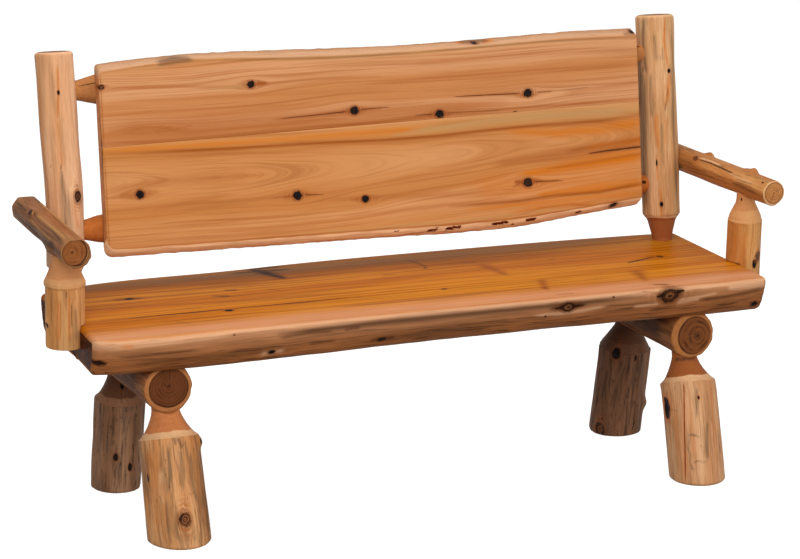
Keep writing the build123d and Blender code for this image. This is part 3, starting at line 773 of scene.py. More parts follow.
legs = {
    "leg_front_left": dict(
        side=-1, end=-1, foot=(-0.601, -0.2323), radius=0.0635, neck=0.0285, seed=41,
        lumps=[(199, 64, 5.5, 10, 9), (45, -4, 2, 20, 20)],
        knots=[(138, -72, 3.6, 2, 0, 0.3), (45, -4, 12, 1.2, 1, 0.9), (200, 62, 4.5, 1.2, 0.3, 0.3)],
        strokes={
            "stain": [(0.75, 214,-8,3, 199,-6,1.8), (0.75, 213,-1,3.5, 190,5,1.8), (0.5, 205,12,2, 170,14,1.6),
             (0.4, 105,17,1.1, 97,20,1.1, 93,14,1.1, 99,12,1.1), (0.5, 100,-45,1.2, 50,-46,1.2),
             (0.6, 55,-1,2, 49,-7,3), (0.45, 203,-30,1.5, 160,-31,1.2), (0.45, 170,34,1.6, 110,33,2.2, 60,35,1.4)],
            "grey": [(0.85, 200,-20,4, 150,-22,6, 105,-28,3), (0.8, 190,1,5, 146,2,6, 105,0,2),
             (0.8, 180,21,4, 120,19,6, 80,26,3), (0.6, 160,42,4, 60,40,6), (0.5, 90,-35,3, 20,-38,4),
             (0.6, 30,10,4, 0,12,6)],
            "orange": [(0.55, 200,-60,10, 30,-62,12), (0.4, 130,-38,6, 30,-40,6)],
            "brown": [(0.75, 190,56,14, 100,54,13, 10,50,16), (0.4, 190,30,8, 100,34,9, 20,30,10)],
            "crack": [(1, 58,-3,0.8, 55,-9,2.4, 48,-13,3.4, 40,-13,1)],
            "pale": [(0.9, 75,-6,2, 66,-2,4, 60,5,3), (0.6, 150,-40,6, 80,-42,8)],
        },
        wood=dict(pale=(210, 154, 104), warm=(189, 125, 73), streak=(166, 100, 50), streakDark=(98, 64, 40),
            greyShare=0.6, greyFrom=0.5, grey=(138, 102, 68), streakShare=0.55, fleckFrom=0.7, heart=(140, 78, 40),
            heartPale=(196, 122, 72)),
    ),
    "leg_front_right": dict(
        side=1, end=-1, foot=(0.601, -0.2323), radius=0.0605, neck=0.0265, seed=42, neckShift=-6,
        lumps=[(160, -91, -4, 22, 10), (190, -91, 2, 10, 10)],
        knots=[(160, -87, 12.5, 1.9, 0, 0.2), (177, -10, 2.2, 1.8, 0.2, 0.2)],
        strokes={
            "crack": [(1, 212,-37.5,0.9, 174,-40,1, 98,-45,1.3, -10,-53,1.2)],
            "grey": [(0.75, 198,-12,3, 172,-14,4, 135,-18,3), (0.7, 120,4,3, 40,-2,4), (0.5, 190,12,3, 120,14,3),
             (0.5, 100,34,3, 30,30,4)],
            "orange": [(0.5, 200,22,3, 20,22,4), (0.5, 200,-28,3, 50,-30,3), (0.45, 200,40,4, 20,42,4),
             (0.5, 150,-62,3, 20,-66,3)],
            "stain": [(0.65, 96,-37,1.4, 98,-30,2.2, 94,-20,1.8, 89,-15,1),
             (0.6, 91,-35,2, 69,-40,1.2, 54,-37,2.2, 39,-39,1.4, 25,-36,2.4, 21,-30,1.6),
             (0.55, 36,-33,1.1, 40,-23,1.8, 36,-10,1, 38,-6,1), (0.5, 157,-74,0.9, 151,-56,1),
             # the stroke at 262 to 264 mm darkens the top of the neck under the cross log: painted shade
             (0.4, 60,22,1.6, 33,22,1.6), (0.75, 264,-75,5, 264,-20,5, 262,30,4), (0.5, 200,-78,3, 120,-80,4),
             (0.6, 75,36,1.4, 60,36,2.2, 50,35,1.2)],
        },
        wood=dict(pale=(213, 164, 121), warm=(195, 138, 95), streak=(171, 108, 56), streakDark=(120, 82, 48),
            greyShare=0.35, greyFrom=0.55, knotRagged=0.6, streakShare=0.35, lineShare=0.6, fleckFrom=0.73,
            # heart and heartPale are lowered to take in the shade at the neck's edges: the neck's own colour with
            # painted shade
            crackColour=(120, 46, 18), rimColour=(190, 96, 40), heart=(112, 56, 26), heartPale=(158, 89, 44)),
    ),
    "leg_rear_left": dict(
        side=-1, end=1, foot=(-0.609, 0.1578), radius=0.054, neck=0.0275, seed=43,
        knots=[(91, -24, 5, 1.5, 0, 0.3), (66, 11, 4, 2.2, 0, 0.2), (249, -13, 6.5, 1.3, 0, 0.3)],
        strokes={
            "stain": [(1, 245,-15,2.2, 212,-16,1), (0.9, 120,-23,1, 95,-24,1.2), (0.9, 92,12,1.2, 70,11,1.4),
             (0.6, 190,-30,2, 140,-30,2), (0.6, 200,-60,2, 120,-62,2), (0.7, 190,20,4, 110,22,4)],
            "pale": [(0.3, 50,-50,20, 100,-52,10), (0.25, 190,-50,6, 190,10,6)],
        },
        # these tones are much darker than the front legs': the log's own colour with painted shade under the seat
        wood=dict(pale=(160, 118, 88), warm=(132, 92, 64), streak=(108, 70, 46), streakDark=(62, 42, 30),
            streakShare=0.75, greyShare=0.6, greyFrom=0.52, grey=(104, 82, 66), fleckFrom=0.64, fleckShare=0.7,
            fleckColour=(34, 22, 15), fresh=(150, 104, 74), heart=(84, 50, 32), heartPale=(108, 68, 46)),
    ),
    "leg_rear_right": dict(
        side=1, end=1, foot=(0.592, 0.1578), radius=0.058, neck=0.0275, seed=44,
        cone=(0.87, 0.7, 0.48, 0.25, 0.06, 0),
        lumps=[(72, 62, 6, 14, 14), (200, -48, 2, 20, 20)],
        knots=[(205, -46, 9.2, 1.3, 0, 0.3), (198, 0, 3, 2.4, 0, 0.2), (14, -64, 12.5, 1.1, 0.75, 0.5)],
        strokes={
            "stain": [(0.9, 200,-50,4, 175,-58,3), (0.8, 160,-62,3, 90,-70,3), (0.6, 150,-30,2, 50,-38,2),
             (0.6, 130,5,2, 20,-3,2), (0.6, 180,30,2, 100,28,2), (0.5, 190,-20,3, 130,-32,4, 80,-44,3),
             (0.5, 120,-10,3, 40,-20,4)],
        },
        # these tones are much darker than the front legs': the log's own colour with painted shade under the seat
        wood=dict(pale=(128, 88, 62), warm=(108, 72, 50), streak=(88, 56, 38), streakDark=(48, 32, 24),
            streakShare=0.8, knotRagged=0.7, greyShare=0.5, greyFrom=0.5, grey=(72, 52, 42), fleckFrom=0.63,
            fleckShare=0.6, fleckColour=(28, 18, 13), fresh=(100, 66, 46), heart=(70, 42, 28), heartPale=(92, 58, 40),
            neckRings=0.1),
    ),
}


def copedTo(beamX):  # the neck ends in a saddle against the cross log
    def trim(rings):
        off = np.clip(np.abs(rings[..., 0] - beamX), 0, bench["beamRadius"])
        saddle = bench["beamZ"] - np.sqrt(bench["beamRadius"] ** 2 - off ** 2) + 0.0012
        rings[..., 2] = np.minimum(rings[..., 2], saddle)
        return rings
    return trim


for name, leg in legs.items():
    side, radius, neck, shift = leg["side"], leg["radius"], leg["neck"], leg.get("neckShift", 0)
    crossing = np.array([side * bench["beamX"], bench["legCrossing"][leg["end"]], bench["beamZ"]])
    foot = np.array([*leg["foot"], 0])
    axis = unit(crossing - foot)
    shoulder, reach = bench["legShoulder"] / axis[2], bench["legTop"] / axis[2] + 0.004
    cone = [neck + (radius - neck) * share for share in leg.get("cone", (0.76, 0.56, 0.36, 0.19, 0.07, 0.0))]
    leg.update(
        start=foot, along=axis, outward=(0, -1, 0), uneven=0.0021, peel=0.0010, levelFoot=shoulder,
        turned=[(shoulder + 0.0005, 9)], trims=[copedTo(side * bench["beamX"])],
        bow=[(0, 0, 0), (shoulder / mm, 0, 0), (shoulder / mm + 20, 0, shift), (reach / mm, 0, shift),
             (reach / mm + 30, 0, shift)],
        profile=roundedEnd(0.006, 0.006, radius) + [
            (0.03, radius), (shoulder - 0.0025, radius), (shoulder, radius - 0.0006),
            (shoulder + 0.001, radius - 0.0018), (shoulder + 0.0065, cone[0]), (shoulder + 0.015, cone[1]),
            (shoulder + 0.026, cone[2]), (shoulder + 0.038, cone[3]), (shoulder + 0.049, cone[4]),
            (reach, cone[5] + 0.0003), (reach + 0.03, neck)],
    )
    buildLog(name, leg, sapFrom=0.80, neckRings=0.16)
print("legs")

# arms

arms = {
    "arm_left": dict(
        side=-1, front=(-0.7999, -0.1719), rear=(-0.7745, 0.2554), fall=0.005, radius=0.0335, seed=51,
        pithAt=(0.002, -0.008),
        facets=[(0, 8, 0.6), (-52, 4, 0.7), (44, 3, 0.7), (-98, 3, 0.8), (80, 2, 0.8), (-140, 3, 1)],
        lumps=[(292, -45, 2.5, 20, 12), (115, -128, 6, 30, 14), (70, -120, -3, 15, 20), (200, -125, -2, 30, 20)],
        knots=[(292, -47, 5.5, 1.6, 0.2, 0.2)],
        strokes={
            "stain": [(0.8, 304,-42,1, 292,-52,1.6, 278,-52,1.2), (0.8, 30,-48,1.4, 120,-44,1.8, 200,-50,1.2),
             (0.7, 10,-62,1.4, 100,-60,2, 170,-64,1), (0.8, 60,-80,3, 120,-92,4, 160,-100,5),
             (0.7, 200,-84,2, 300,-80,2), (0.6, 20,50,2, 150,52,2), (0.7, 400,-50,2, 320,-52,3)],
            "pale": [(0.9, 283,-38,3, 275,-46,3), (0.75, 20,34,3.5, 200,34,4, 360,33,3),
             (0.6, 20,-30,3.5, 140,-32,5, 260,-38,4), (0.7, 270,-66,2, 180,-74,3, 80,-72,2)],
            "brown": [(0.6, 260,-70,8, 400,-66,10), (0.8, 30,-98,16, 200,-96,18, 420,-94,18)],
            "orange": [(0.7, 30,4,10, 200,2,12, 420,0,12)],
        },
        wood=dict(pale=(168, 112, 66), warm=(142, 88, 50), streak=(120, 72, 36), streakDark=(70, 44, 26),
            streakShare=0.7, orange=(146, 84, 46), specular=0.04, ringEdge=0.9, greyShare=0.4, greyFrom=0.52,
            grey=(100, 76, 50), fresh=(196, 144, 88), heartPale=(164, 100, 62), rim=(152, 104, 64),
            endHeart=(112, 62, 31), endPale=(142, 84, 43), rings=22, ringWarp=13, fleckFrom=0.69),
    ),
    "arm_right": dict(
        side=1, front=(0.7974, -0.1719), rear=(0.772, 0.2554), fall=0, radius=0.0285, seed=52,
        facets=[(0, 2, 0.6), (-58, 2, 0.7), (-15, 1, 0.7), (38, 1.5, 0.8), (-100, 1.5, 0.8)],
        lumps=[(280, 18, 6, 10, 8), (292, 16, 4, 12, 10), (98, 18, 8.5, 11, 11), (118, 18, 4, 16, 10),
            (297, -47, 2, 15, 10), (160, -75, -1.5, 40, 10), (140, -110, -1, 50, 10), (70, -60, 1.2, 30, 8)],
        knots=[(297, -47, 4.8, 1.5, 1, 0.8), (20, -40, 1.8, 1.6, 0, 0.3)],
        strokes={
            "crack": [(1, 288,-46,0.8, 239,-41,1.1, 175,-46,1.2, 135,-49,0.8)],
            "pale": [(0.9, 285,-36,3, 240,-32,3, 200,-34,3), (0.6, 150,-58,4, 50,-60,4)],
            "stain": [(0.55, 120,-70,1.4, 50,-64,1.6), (0.55, 140,-52,1, 100,-50,1), (0.7, 420,-112,4, 340,-114,3),
             (0.55, 330,-116,1.6, 200,-106,2), (0.5, 210,-84,1.2, 160,-88,1.2)],
            "brown": [(0.7, 130,-95,4, 30,-96,5), (0.6, 420,-70,6, 300,-76,4)],
            "orange": [(0.5, 240,-60,5, 120,-72,5)],
        },
        wood=dict(pale=(200, 142, 84), warm=(176, 112, 58), streak=(156, 88, 36), streakDark=(106, 64, 32),
            streakShare=0.65, ringEdge=0.85, greyShare=0.25, rim=(220, 172, 122), heartPale=(190, 126, 76),
            endHeart=(150, 90, 46), endPale=(190, 128, 74), pith=(120, 70, 36), rings=38, fleckFrom=0.71,
            splits=[(60, 6, 18, 0.6), (200, 4, 20, 0.6)]),
    ),
}

for name, arm in arms.items():
    radius = arm["radius"]
    front = np.array([*arm["front"], bench["armHeight"]])
    rear = np.array([*arm["rear"], bench["armHeight"] - arm["fall"]])
    end = roundedEnd(0.0065 if arm["side"] < 0 else 0.0045, 0.005, radius)
    arm.update(
        start=front, along=rear - front, outward=(0, 0, 1), uneven=0.0010,
        profile=end + [(0.012, radius)] + turnedRound(end, np.linalg.norm(rear - front)),
    )
    buildLog(name, arm, sapFrom=0.84, jag=0.07)
print("arms")

# arm posts

armPosts = {
    "arm_post_left": dict(
        side=-1, radius=0.043, neck=0.0265, shoulder=0.131, band=0.008, cone=(0.76, 0.5, 0.28, 0.13, 0.03), seed=61,
        facets=[(-66, 3, 0.5), (-30, 3.5, 0.5), (6, 2.8, 0.5), (42, 3, 0.5), (80, 3, 0.6), (-104, 3, 0.8),
            (130, 3, 1), (-150, 2, 1)],
        lumps=[(58, -84, 2.5, 8, 7), (45, -84, -2, 7, 7)],
        knots=[(49, -80, 3, 1.5, 0, 0.3)],
        strokes={
            "stain": [(0.7, 126,-13,1.6, 112,-13,1.2), (0.75, 100,2,0.8, 50,3,1), (0.5, 110,-30,0.7, 30,-31,0.8),
             (0.7, 40,30,1.6, 0,30,2), (0.45, 120,-58,1, 60,-62,1.2)],
            "grey": [(0.5, 90,14,4, 20,16,5)],
            "orange": [(0.55, 110,-34,4, 20,-36,6), (0.5, 120,-4,3, 20,-6,3)],
            "pale": [(0.7, 110,20,3, 30,22,3), (0.6, 100,-20,3, 20,-22,3), (0.9, 62,-78,2, 55,-76,2)],
        },
        wood=dict(pale=(208, 152, 96), warm=(194, 132, 76), streak=(180, 112, 56), streakDark=(136, 88, 50),
            streakShare=0.45, greyShare=0.1, fleckFrom=0.76, sapFrom=0.9, heart=(172, 108, 62),
            heartPale=(196, 134, 86), fresh=(204, 150, 100), neckRings=0.25),
    ),
    "arm_post_right": dict(
        side=1, radius=0.038, neck=0.0205, shoulder=0.138, band=0.004, cone=(0.86, 0.64, 0.37, 0.1, 0), seed=62,
        facets=[(-30, 1, 0.8), (40, 1, 0.8), (-75, 1, 0.8)],
        lumps=[(68, 20, 3.5, 24, 14), (50, 8, -2, 10, 6)],
        knots=[(64, 24, 8, 1.3, 1, 0.6), (48, 10, 4, 2.2, 0, 0.2), (190, -56, 2.2, 1.3, 0, 0.3)],
        strokes={
            "pale": [(1, 105,26,3, 85,12,4, 60,0,4, 45,-4,3), (0.9, 100,36,4, 80,40,4)],
            "orange": [(0.45, 120,-30,5, 50,-34,5), (0.4, 120,-62,5, 50,-64,5), (0.5, 50,-20,8, 45,-50,6)],
            "stain": [(0.35, 120,-78,1.2, 60,-80,1.2)],
        },
        wood=dict(pale=(206, 148, 88), warm=(186, 120, 60), streak=(172, 100, 42), streakDark=(138, 86, 44),
            streakShare=0.3, greyShare=0.1, fleckFrom=0.76, sapFrom=0.76, heart=(158, 98, 54),
            heartPale=(196, 134, 82), fresh=(206, 150, 98), neckRings=0.2),
    ),
}


def seatNotch(side):  # below the seat's top the post stops at the seat's end
    def trim(rings):
        below = np.clip((bench["seatTop"] + 0.0006 - rings[..., 2]) / 0.0012, 0, 1)
        rings[..., 0] += side * below * np.maximum(bench["seatHalf"] + 0.0005 - side * rings[..., 0], 0)
        return rings
    return trim


for name, post in armPosts.items():
    radius, neck, side, shoulder = (post[key] for key in ("radius", "neck", "side", "shoulder"))
    edge = shoulder + post["band"]
    cone = [(edge + rise, neck + (radius - neck) * share)
            for rise, share in zip((0.008, 0.017, 0.027, 0.036, 0.046), post["cone"])]
    post.update(
        start=(side * bench["armPostX"], bench["armPostY"], bench["seatTop"] - bench["armPostDrop"]),
        along=(0, 0, 1), outward=(0, -1, 0), uneven=0.0010, turned=[(shoulder + 0.0005, 9)], trims=[seatNotch(side)],
        profile=roundedEnd(0.006, 0.006, radius) + [
            (0.012, radius), (0.0460, radius), (0.0482, radius), (shoulder, radius), (edge, radius),
            (edge + 0.0018, radius - 0.0016), *cone, (0.192, neck), (0.215, neck)],
    )
    buildLog(name, post)
print("arm posts")

# seat: each wave is a share of the half length, then how far the upper and the lower edge stand out

seatPlanks = {
    "front": dict(
        outward=-1, straight=bench["seatFront"], seed=71, topColumns=64, underColumns=16, stations=560,
        waves=[(-1, -22, -36), (-0.965, -2, -29), (-0.88, 6, -25), (-0.6, 1, -21), (-0.2, -2, -37), (0.3, 0, -44),
            (0.65, -2, -39), (0.93, -2, -34), (1, -9, -36)],
        topKnots=[(-437, -76.4, 6, 1.4, 0, 0.6), (150, -8.7, 4, 1.3, 0, 0.5), (58, -66.6, 4, 1.6, 0.1, 0.5)],
        faceKnots=[(280, 415, 10, 1.5, 0.7, 0.35), (524, 417.7, 15.2, 1.3, 0.75, 0.4),
            (-392, 377.7, 4.5, 1.8, 0, 0.3), (-145, 380.7, 5, 1.9, 0.2, 0.6), (387, 427.8, 1.6, 1.4, 0.3, 0.4),
            (229, 398, 2.2, 1, 0, 0.3), (744, 374, 8.5, 1.2, 0, 0.2), (-765, 388.4, 6, 2, 0, 0.2),
            (-480, 426.6, 1.3, 1.2, 0.6, 0.4)],
        topStrokes={
            "crack": [(1, -775,-57,3, -628,-62.3,3, -498,-67.1,2.6, -441,-62.5,2),
             (0.9, -430,-63.5,1.6, -274,-66.4,2, -150,-61,1.2)],
            "stain": [(0.55, -775,-52,4, -600,-57,5, -420,-60,4), (0.5, -570,-126,2, -545,-150,2),
             (0.4, -650,-68,3, -620,-72,3), (0.5, 258,-128,3, 270,-133,4), (0.45, 262,-193,3, 305,-194,3),
             (0.6, 500,-185,7, 530,-196,5), (0.3, -200,-53.5,3, -185,-56,3), (0.3, -150,-69,3, -135,-70,3)],
            "brown": [(0.5, -600,-115,4, -300,-118,5), (0.5, -200,-132,4, 150,-128,4), (0.45, 350,-135,5, 700,-130,5),
             (0.55, -740,-60,6, -440,-64,6, -150,-62,4, 100,-60,3), (0.8, 290,-60,12, 276,-105,9, 262,-150,7),
             (0.85, 522,-45,20, 512,-95,14, 500,-150,10)],
            # the pale band along the front of the top, brightest towards the arris, is a painted highlight
            "pale": [(1, -1000,-190,40, -770,-192,40, -530,-194,40, -300,-190,45, 0,-189,46, 300,-190,41, 770,-184,42,
             1000,-184,42)],
        },
        faceStrokes={
            "orange": [(0.6, -724,423.5,3, -698,425,3)],
            "stain": [(0.75, 235,414.8,3.5, 280,415,10, 325,416.5,3.5), (0.6, 490,423.5,5, 524,418.5,16, 558,430,5),
             (0.7, -170,380,3, -145,381,6, -115,383.5,3), (0.55, -380,410,3.5, -310,413.5,4.5, -260,412,3),
             (0.6, -235,413,3, -200,415,3.5), (0.5, -310,388,4, -250,389,3), (0.5, 20,396,3, 150,398,4),
             (0.5, 360,409,2, 500,404,2.5), (0.45, -740,405,2.5, -560,402,3)],
            "crack": [(1, 248,414.5,1.2, 258,415,4, 270,416.5,6), (1, 288,416.5,6, 300,416,3.6, 318,416.5,1),
             (1, 490,418.5,1.2, 500,419.5,4.5, 512,423,6), (1, 538,425,6, 550,426.5,4, 560,427.2,1.2),
             (1, 512,406,4, 520,402,1.2), (1, -790,391.5,1.6, -766,388,3, -748,387,1.6)],
            "pale": [(0.9, 200,403.5,3, 260,401.5,6, 320,404,5, 380,409,3), (0.7, 250,427.5,3, 330,428.5,3),
             (0.8, 545,400,6, 600,406,6), (0.8, 545,405,5, 600,410,4, 640,416,3), (0.7, 440,400,4, 500,402,6),
             (0.9, -415,376.5,5, -392,377,4, -365,379,5),
             # the pale strokes at 424 to 425 mm, at the left and the right, run just under the arris: painted
             # highlight
             (0.8, -1000,424,9, -770,424,9, -700,424,7, -600,424,4, -450,425,3),
             (1, 660,424,6, 710,425,10, 766,425,12)],
            "brown": [(0.75, -380,418,4, -200,421,7, 0,422,8, 200,423,7, 460,423,6),
             (0.4, -160,386,10, 0,384,14, 100,380,10), (0.6, 600,400,4, 760,412,6), (0.5, -700,380,8, -400,386,8)],
        },
    ),
    "rear": dict(
        outward=1, straight=bench["seatRear"], seed=72, topColumns=108, underColumns=26, stations=440,
        waves=[(-1, -56, -80), (-0.93, -27, -51), (-0.86, -15, -39), (-0.4, 1, -23), (-0.25, 9, -15), (0.3, 12, -12),
            (0.75, 1, -23), (0.95, -11, -35), (1, -16, -40)],
        topKnots=[(-603, 83.3, 6.2, 1.5, 0, 0.6), (92, 114.7, 3, 1.5, 0.2, 0.4), (629, 32.2, 6, 1, 0.6, 0.6)],
        faceKnots=[],
        topStrokes={
            # the broad grey band along the rear edge, under the back boards, is painted shade
            "grey": [(0.95, -760,200,30, -655,200,30, -200,206,40, 185,210,40, 450,215,30, 700,225,12)],
            "stain": [(1, -275,238,12, -256,200,18, -238,150,12, -230,132,7),
             (0.9, -330,212,4, -250,210,8, -190,205,4), (0.8, -262,236,10, -205,236,8),
             (0.8, -640,92,2, -603,83,4, -575,78,2), (0.9, -390,83,3, -362,77,5), (0.9, -430,47,3, -395,34,5),
             (0.5, -301,62,3, -275,42,3), (0.4, -520,-33,3, -480,-36,3), (0.6, 83,190,3, 94,162,4, 99,120,4),
             (0.4, -20,90,4, 10,87,4), (0.4, 190,132,3, 220,129,3), (0.5, 400,92,3, 380,93,3)],
            "brown": [(0.5, -733,-24.3,3, -620,-32.2,3, -500,-37.5,3),
             (0.75, -770,30,5, -580,14.1,4, -366,-11.3,4, -185,-14.8,4), (0.6, -770,125,6, -500,118,5, -300,120,5),
             (0.55, -100,60,5, 200,55,4, 500,60,5), (0.5, 300,20,4, 750,15,6),
             (0.85, 222,100,16, 230,45,12, 236,-5,9), (0.7, 600,45,8, 635,30,10), (0.4, 300,120,4, 620,100,4)],
            "crack": [(1, 530,3,1.8, 560,14,3.5, 600,29,3, 618,33,1)],
        },
        faceStrokes={},
    ),
}
# livePale is the painted highlight on the rounded front edge, and liveFrom and liveTo keep it to the arris; light is
# the painted highlight towards the front of the top; grey is the painted shade along the rear edge
seatTones = {
    "pale": (202, 126, 30), "warm": (188, 105, 12), "band": (156, 80, 8), "line": (112, 56, 14), "bandShare": 0.6,
    "lineShare": 0.72, "hairShare": 0.34, "orange": (200, 112, 30), "grey": (143, 98, 61), "light": (207, 144, 102),
    "brown": (138, 68, 24), "deep": (150, 76, 24), "livePale": (206, 154, 115), "liveDark": (150, 91, 50),
    "liveStreak": (52, 30, 18), "liveFrom": -0.32, "liveTo": 0.04, "liveStreaks": 0.7, "endDark": (56, 24, 10),
    "endPale": (108, 54, 26), "stain": (46, 24, 13), "haloColour": (120, 62, 24), "rimColour": (84, 42, 18),
    "rough": 0.45, "specular": 0.015, "knotRagged": 0.6, "knotNoise": [130, 130, 70], "crackColour": (40, 22, 12),
    "flake": (112, 44, 20), "liveRagged": 1.1,
}
seatArris = 0.012
knotScales = mm, mm, mm, 1, 1, 1  # x, y or height, size, how long for its height, tone, glow


def seatSection(x, plank):
    # round the plank: out along the top, over the arris, down the live edge, back underneath and up the seam
    top, under, out, seam = bench["seatTop"], bench["seatUnder"], plank["outward"], bench["seatSeam"]
    straight, arris, lip = plank["straight"], seatArris, 0.0008
    share = x[:, None] / bench["seatHalf"]
    full, low = wave(plank["waves"], 1, share), wave(plank["waves"], 2, share)
    edgeTop = straight + out * (full - arris)
    topY = seam + out * lip + (edgeTop - seam - out * lip) * np.linspace(0, 1, plank["topColumns"])[None, :]
    arc = np.linspace(0, pi / 2, 8)[None, 1:]
    arcZ = top - arris * (1 - np.cos(arc))
    drop = np.linspace(arris, top - under, 36)[None, 1:]
    curl = ((drop - arris) / (top - under - arris)) ** 1.7
    roll = np.clip((drop - (top - under) + 0.012) / 0.012, 0, 1) ** 2 * 0.007
    faceY = straight + out * (full + (low - full) * curl - roll)
    wavy = ripple(plank["seed"], drop * 40, x[:, None] + 0 * drop, 0.0020, (0, 2), (8, 50))
    wavy = wavy + ripple(plank["seed"] + 1, drop * 90, x[:, None] + 0 * drop, 0.0008, (1, 4), (20, 110))
    faceY = faceY + out * wavy * np.clip((drop - arris) * 60, 0, 1)
    underY = faceY[:, -1:] + (seam - faceY[:, -1:]) * np.linspace(0, 1, plank["underColumns"])[None, 1:]
    seamZ = np.linspace(under, top - lip, 9)[None, 1:] + 0 * full
    # columns: across, up, live edge, on the seam, and the way round by which marks are placed
    across, up, live, onSeam, way = joinParts(
        (topY, top, 0, 0, wayRound(plank, topY, None)),
        (edgeTop + out * arris * np.sin(arc), arcZ, np.clip((np.sin(arc) - 0.25) * 2, 0, 1), 0,
         wayRound(plank, None, arcZ)),
        (faceY, top - drop, 1, 0, wayRound(plank, None, top - drop)),
        (underY, under, 0, 0, 1 + np.abs(underY)),
        (seam, seamZ, 0, 1, -1))
    depth = (top - up - arris) / (top - under - arris)
    return across, up, live, np.clip(depth, 0, 1) + 3 * np.minimum(depth, 0), onSeam[0], way


def wayRound(plank, y, z):  # out along the top by y, or on past the arris by the height
    if z is None:
        return plank["outward"] * (y - (plank["straight"] - plank["outward"] * seatArris))
    return seatArris * 0.5 + (bench["seatTop"] - z)


def seatKnots(plank):  # a top knot lies in the top, a face knot reaches back into the live edge
    face, top = (scaledRows(plank[key], *knotScales) for key in ("faceKnots", "topKnots"))
    return [((x, -0.235, z), (size * long, 0.05, size), tone, glow) for x, z, size, long, tone, glow in face] + [
        ((x, y, bench["seatTop"]), (size * long, size, 0.012), tone, glow) for x, y, size, long, tone, glow in top]


for name, plank in seatPlanks.items():
    half, ease, out = bench["seatHalf"], 0.009, plank["outward"]
    nearEnd = half - ease * (1 - np.cos(np.linspace(0, pi / 2, 9)))
    middle = np.linspace(-nearEnd[-1] + 0.003, nearEnd[-1] - 0.003, plank["stations"])
    stations = np.concatenate([-nearEnd, middle, nearEnd[::-1]])
    across, up, live, depth, onSeam, way = seatSection(stations, plank)
    hold = np.convolve(np.tile(1 - onSeam, 3), np.ones(3) / 3, "same")[len(onSeam):2 * len(onSeam)]
    across, up = easeEnds(stations, half, across, up, ease, np.where(onSeam > 0, 0, hold))
    x = stations[:, None] + 0 * across
    if name == "front":  # the left end is sawn a little askew
        x = x - 0.008 * bump(x + half, 0.05) * np.clip((bench["seatSeam"] - across) / 0.12, -0.6, 1)
    pith = np.hypot(across - out * 0.62, up + 0.1)
    flow = 0 * across
    plank["knotShapes"] = seatKnots(plank)
    for count, (centre, halfSizes, *_) in enumerate(plank["knotShapes"]):
        onTop = count >= len(plank["faceKnots"])
        size, off = (halfSizes[1], across - centre[1]) if onTop else (halfSizes[2], up - centre[2])
        spread = ((x - centre[0]) / 2.6) ** 2 + off ** 2 + size ** 2 * 0.7
        flow += off * size ** 2 * 1.6 / spread * (onTop or live > 0.3)
    strokes = strokeList(plank["topStrokes"], mm, mm, mm)
    for _, _, points in strokes:
        points[:, 1] = wayRound(plank, points[:, 1], None)
    faceStrokes = strokeList(plank["faceStrokes"], mm, mm, mm)
    for _, _, points in faceStrokes:
        points[:, 1] = wayRound(plank, None, points[:, 1])
    fields = capFields({
        "wood": np.stack([x, pith + flow, up - flow], -1),
        "skin": np.stack([x, across, up], -1),
        "cut": np.stack([0 * x, live, depth], -1),
        **markFields(x, way, strokes + faceStrokes),
    })
    seatWood = slabWood("seatWood" + name.title(), plank, paints(seatTones))
    closedPiece("seatPlank" + name.title(), capRings(np.stack([x, across, up], -1)), fields, seatWood,
                f"seat_{name}_plank")
print("seat planks")

# back boards: heights up the rake from the seat's top

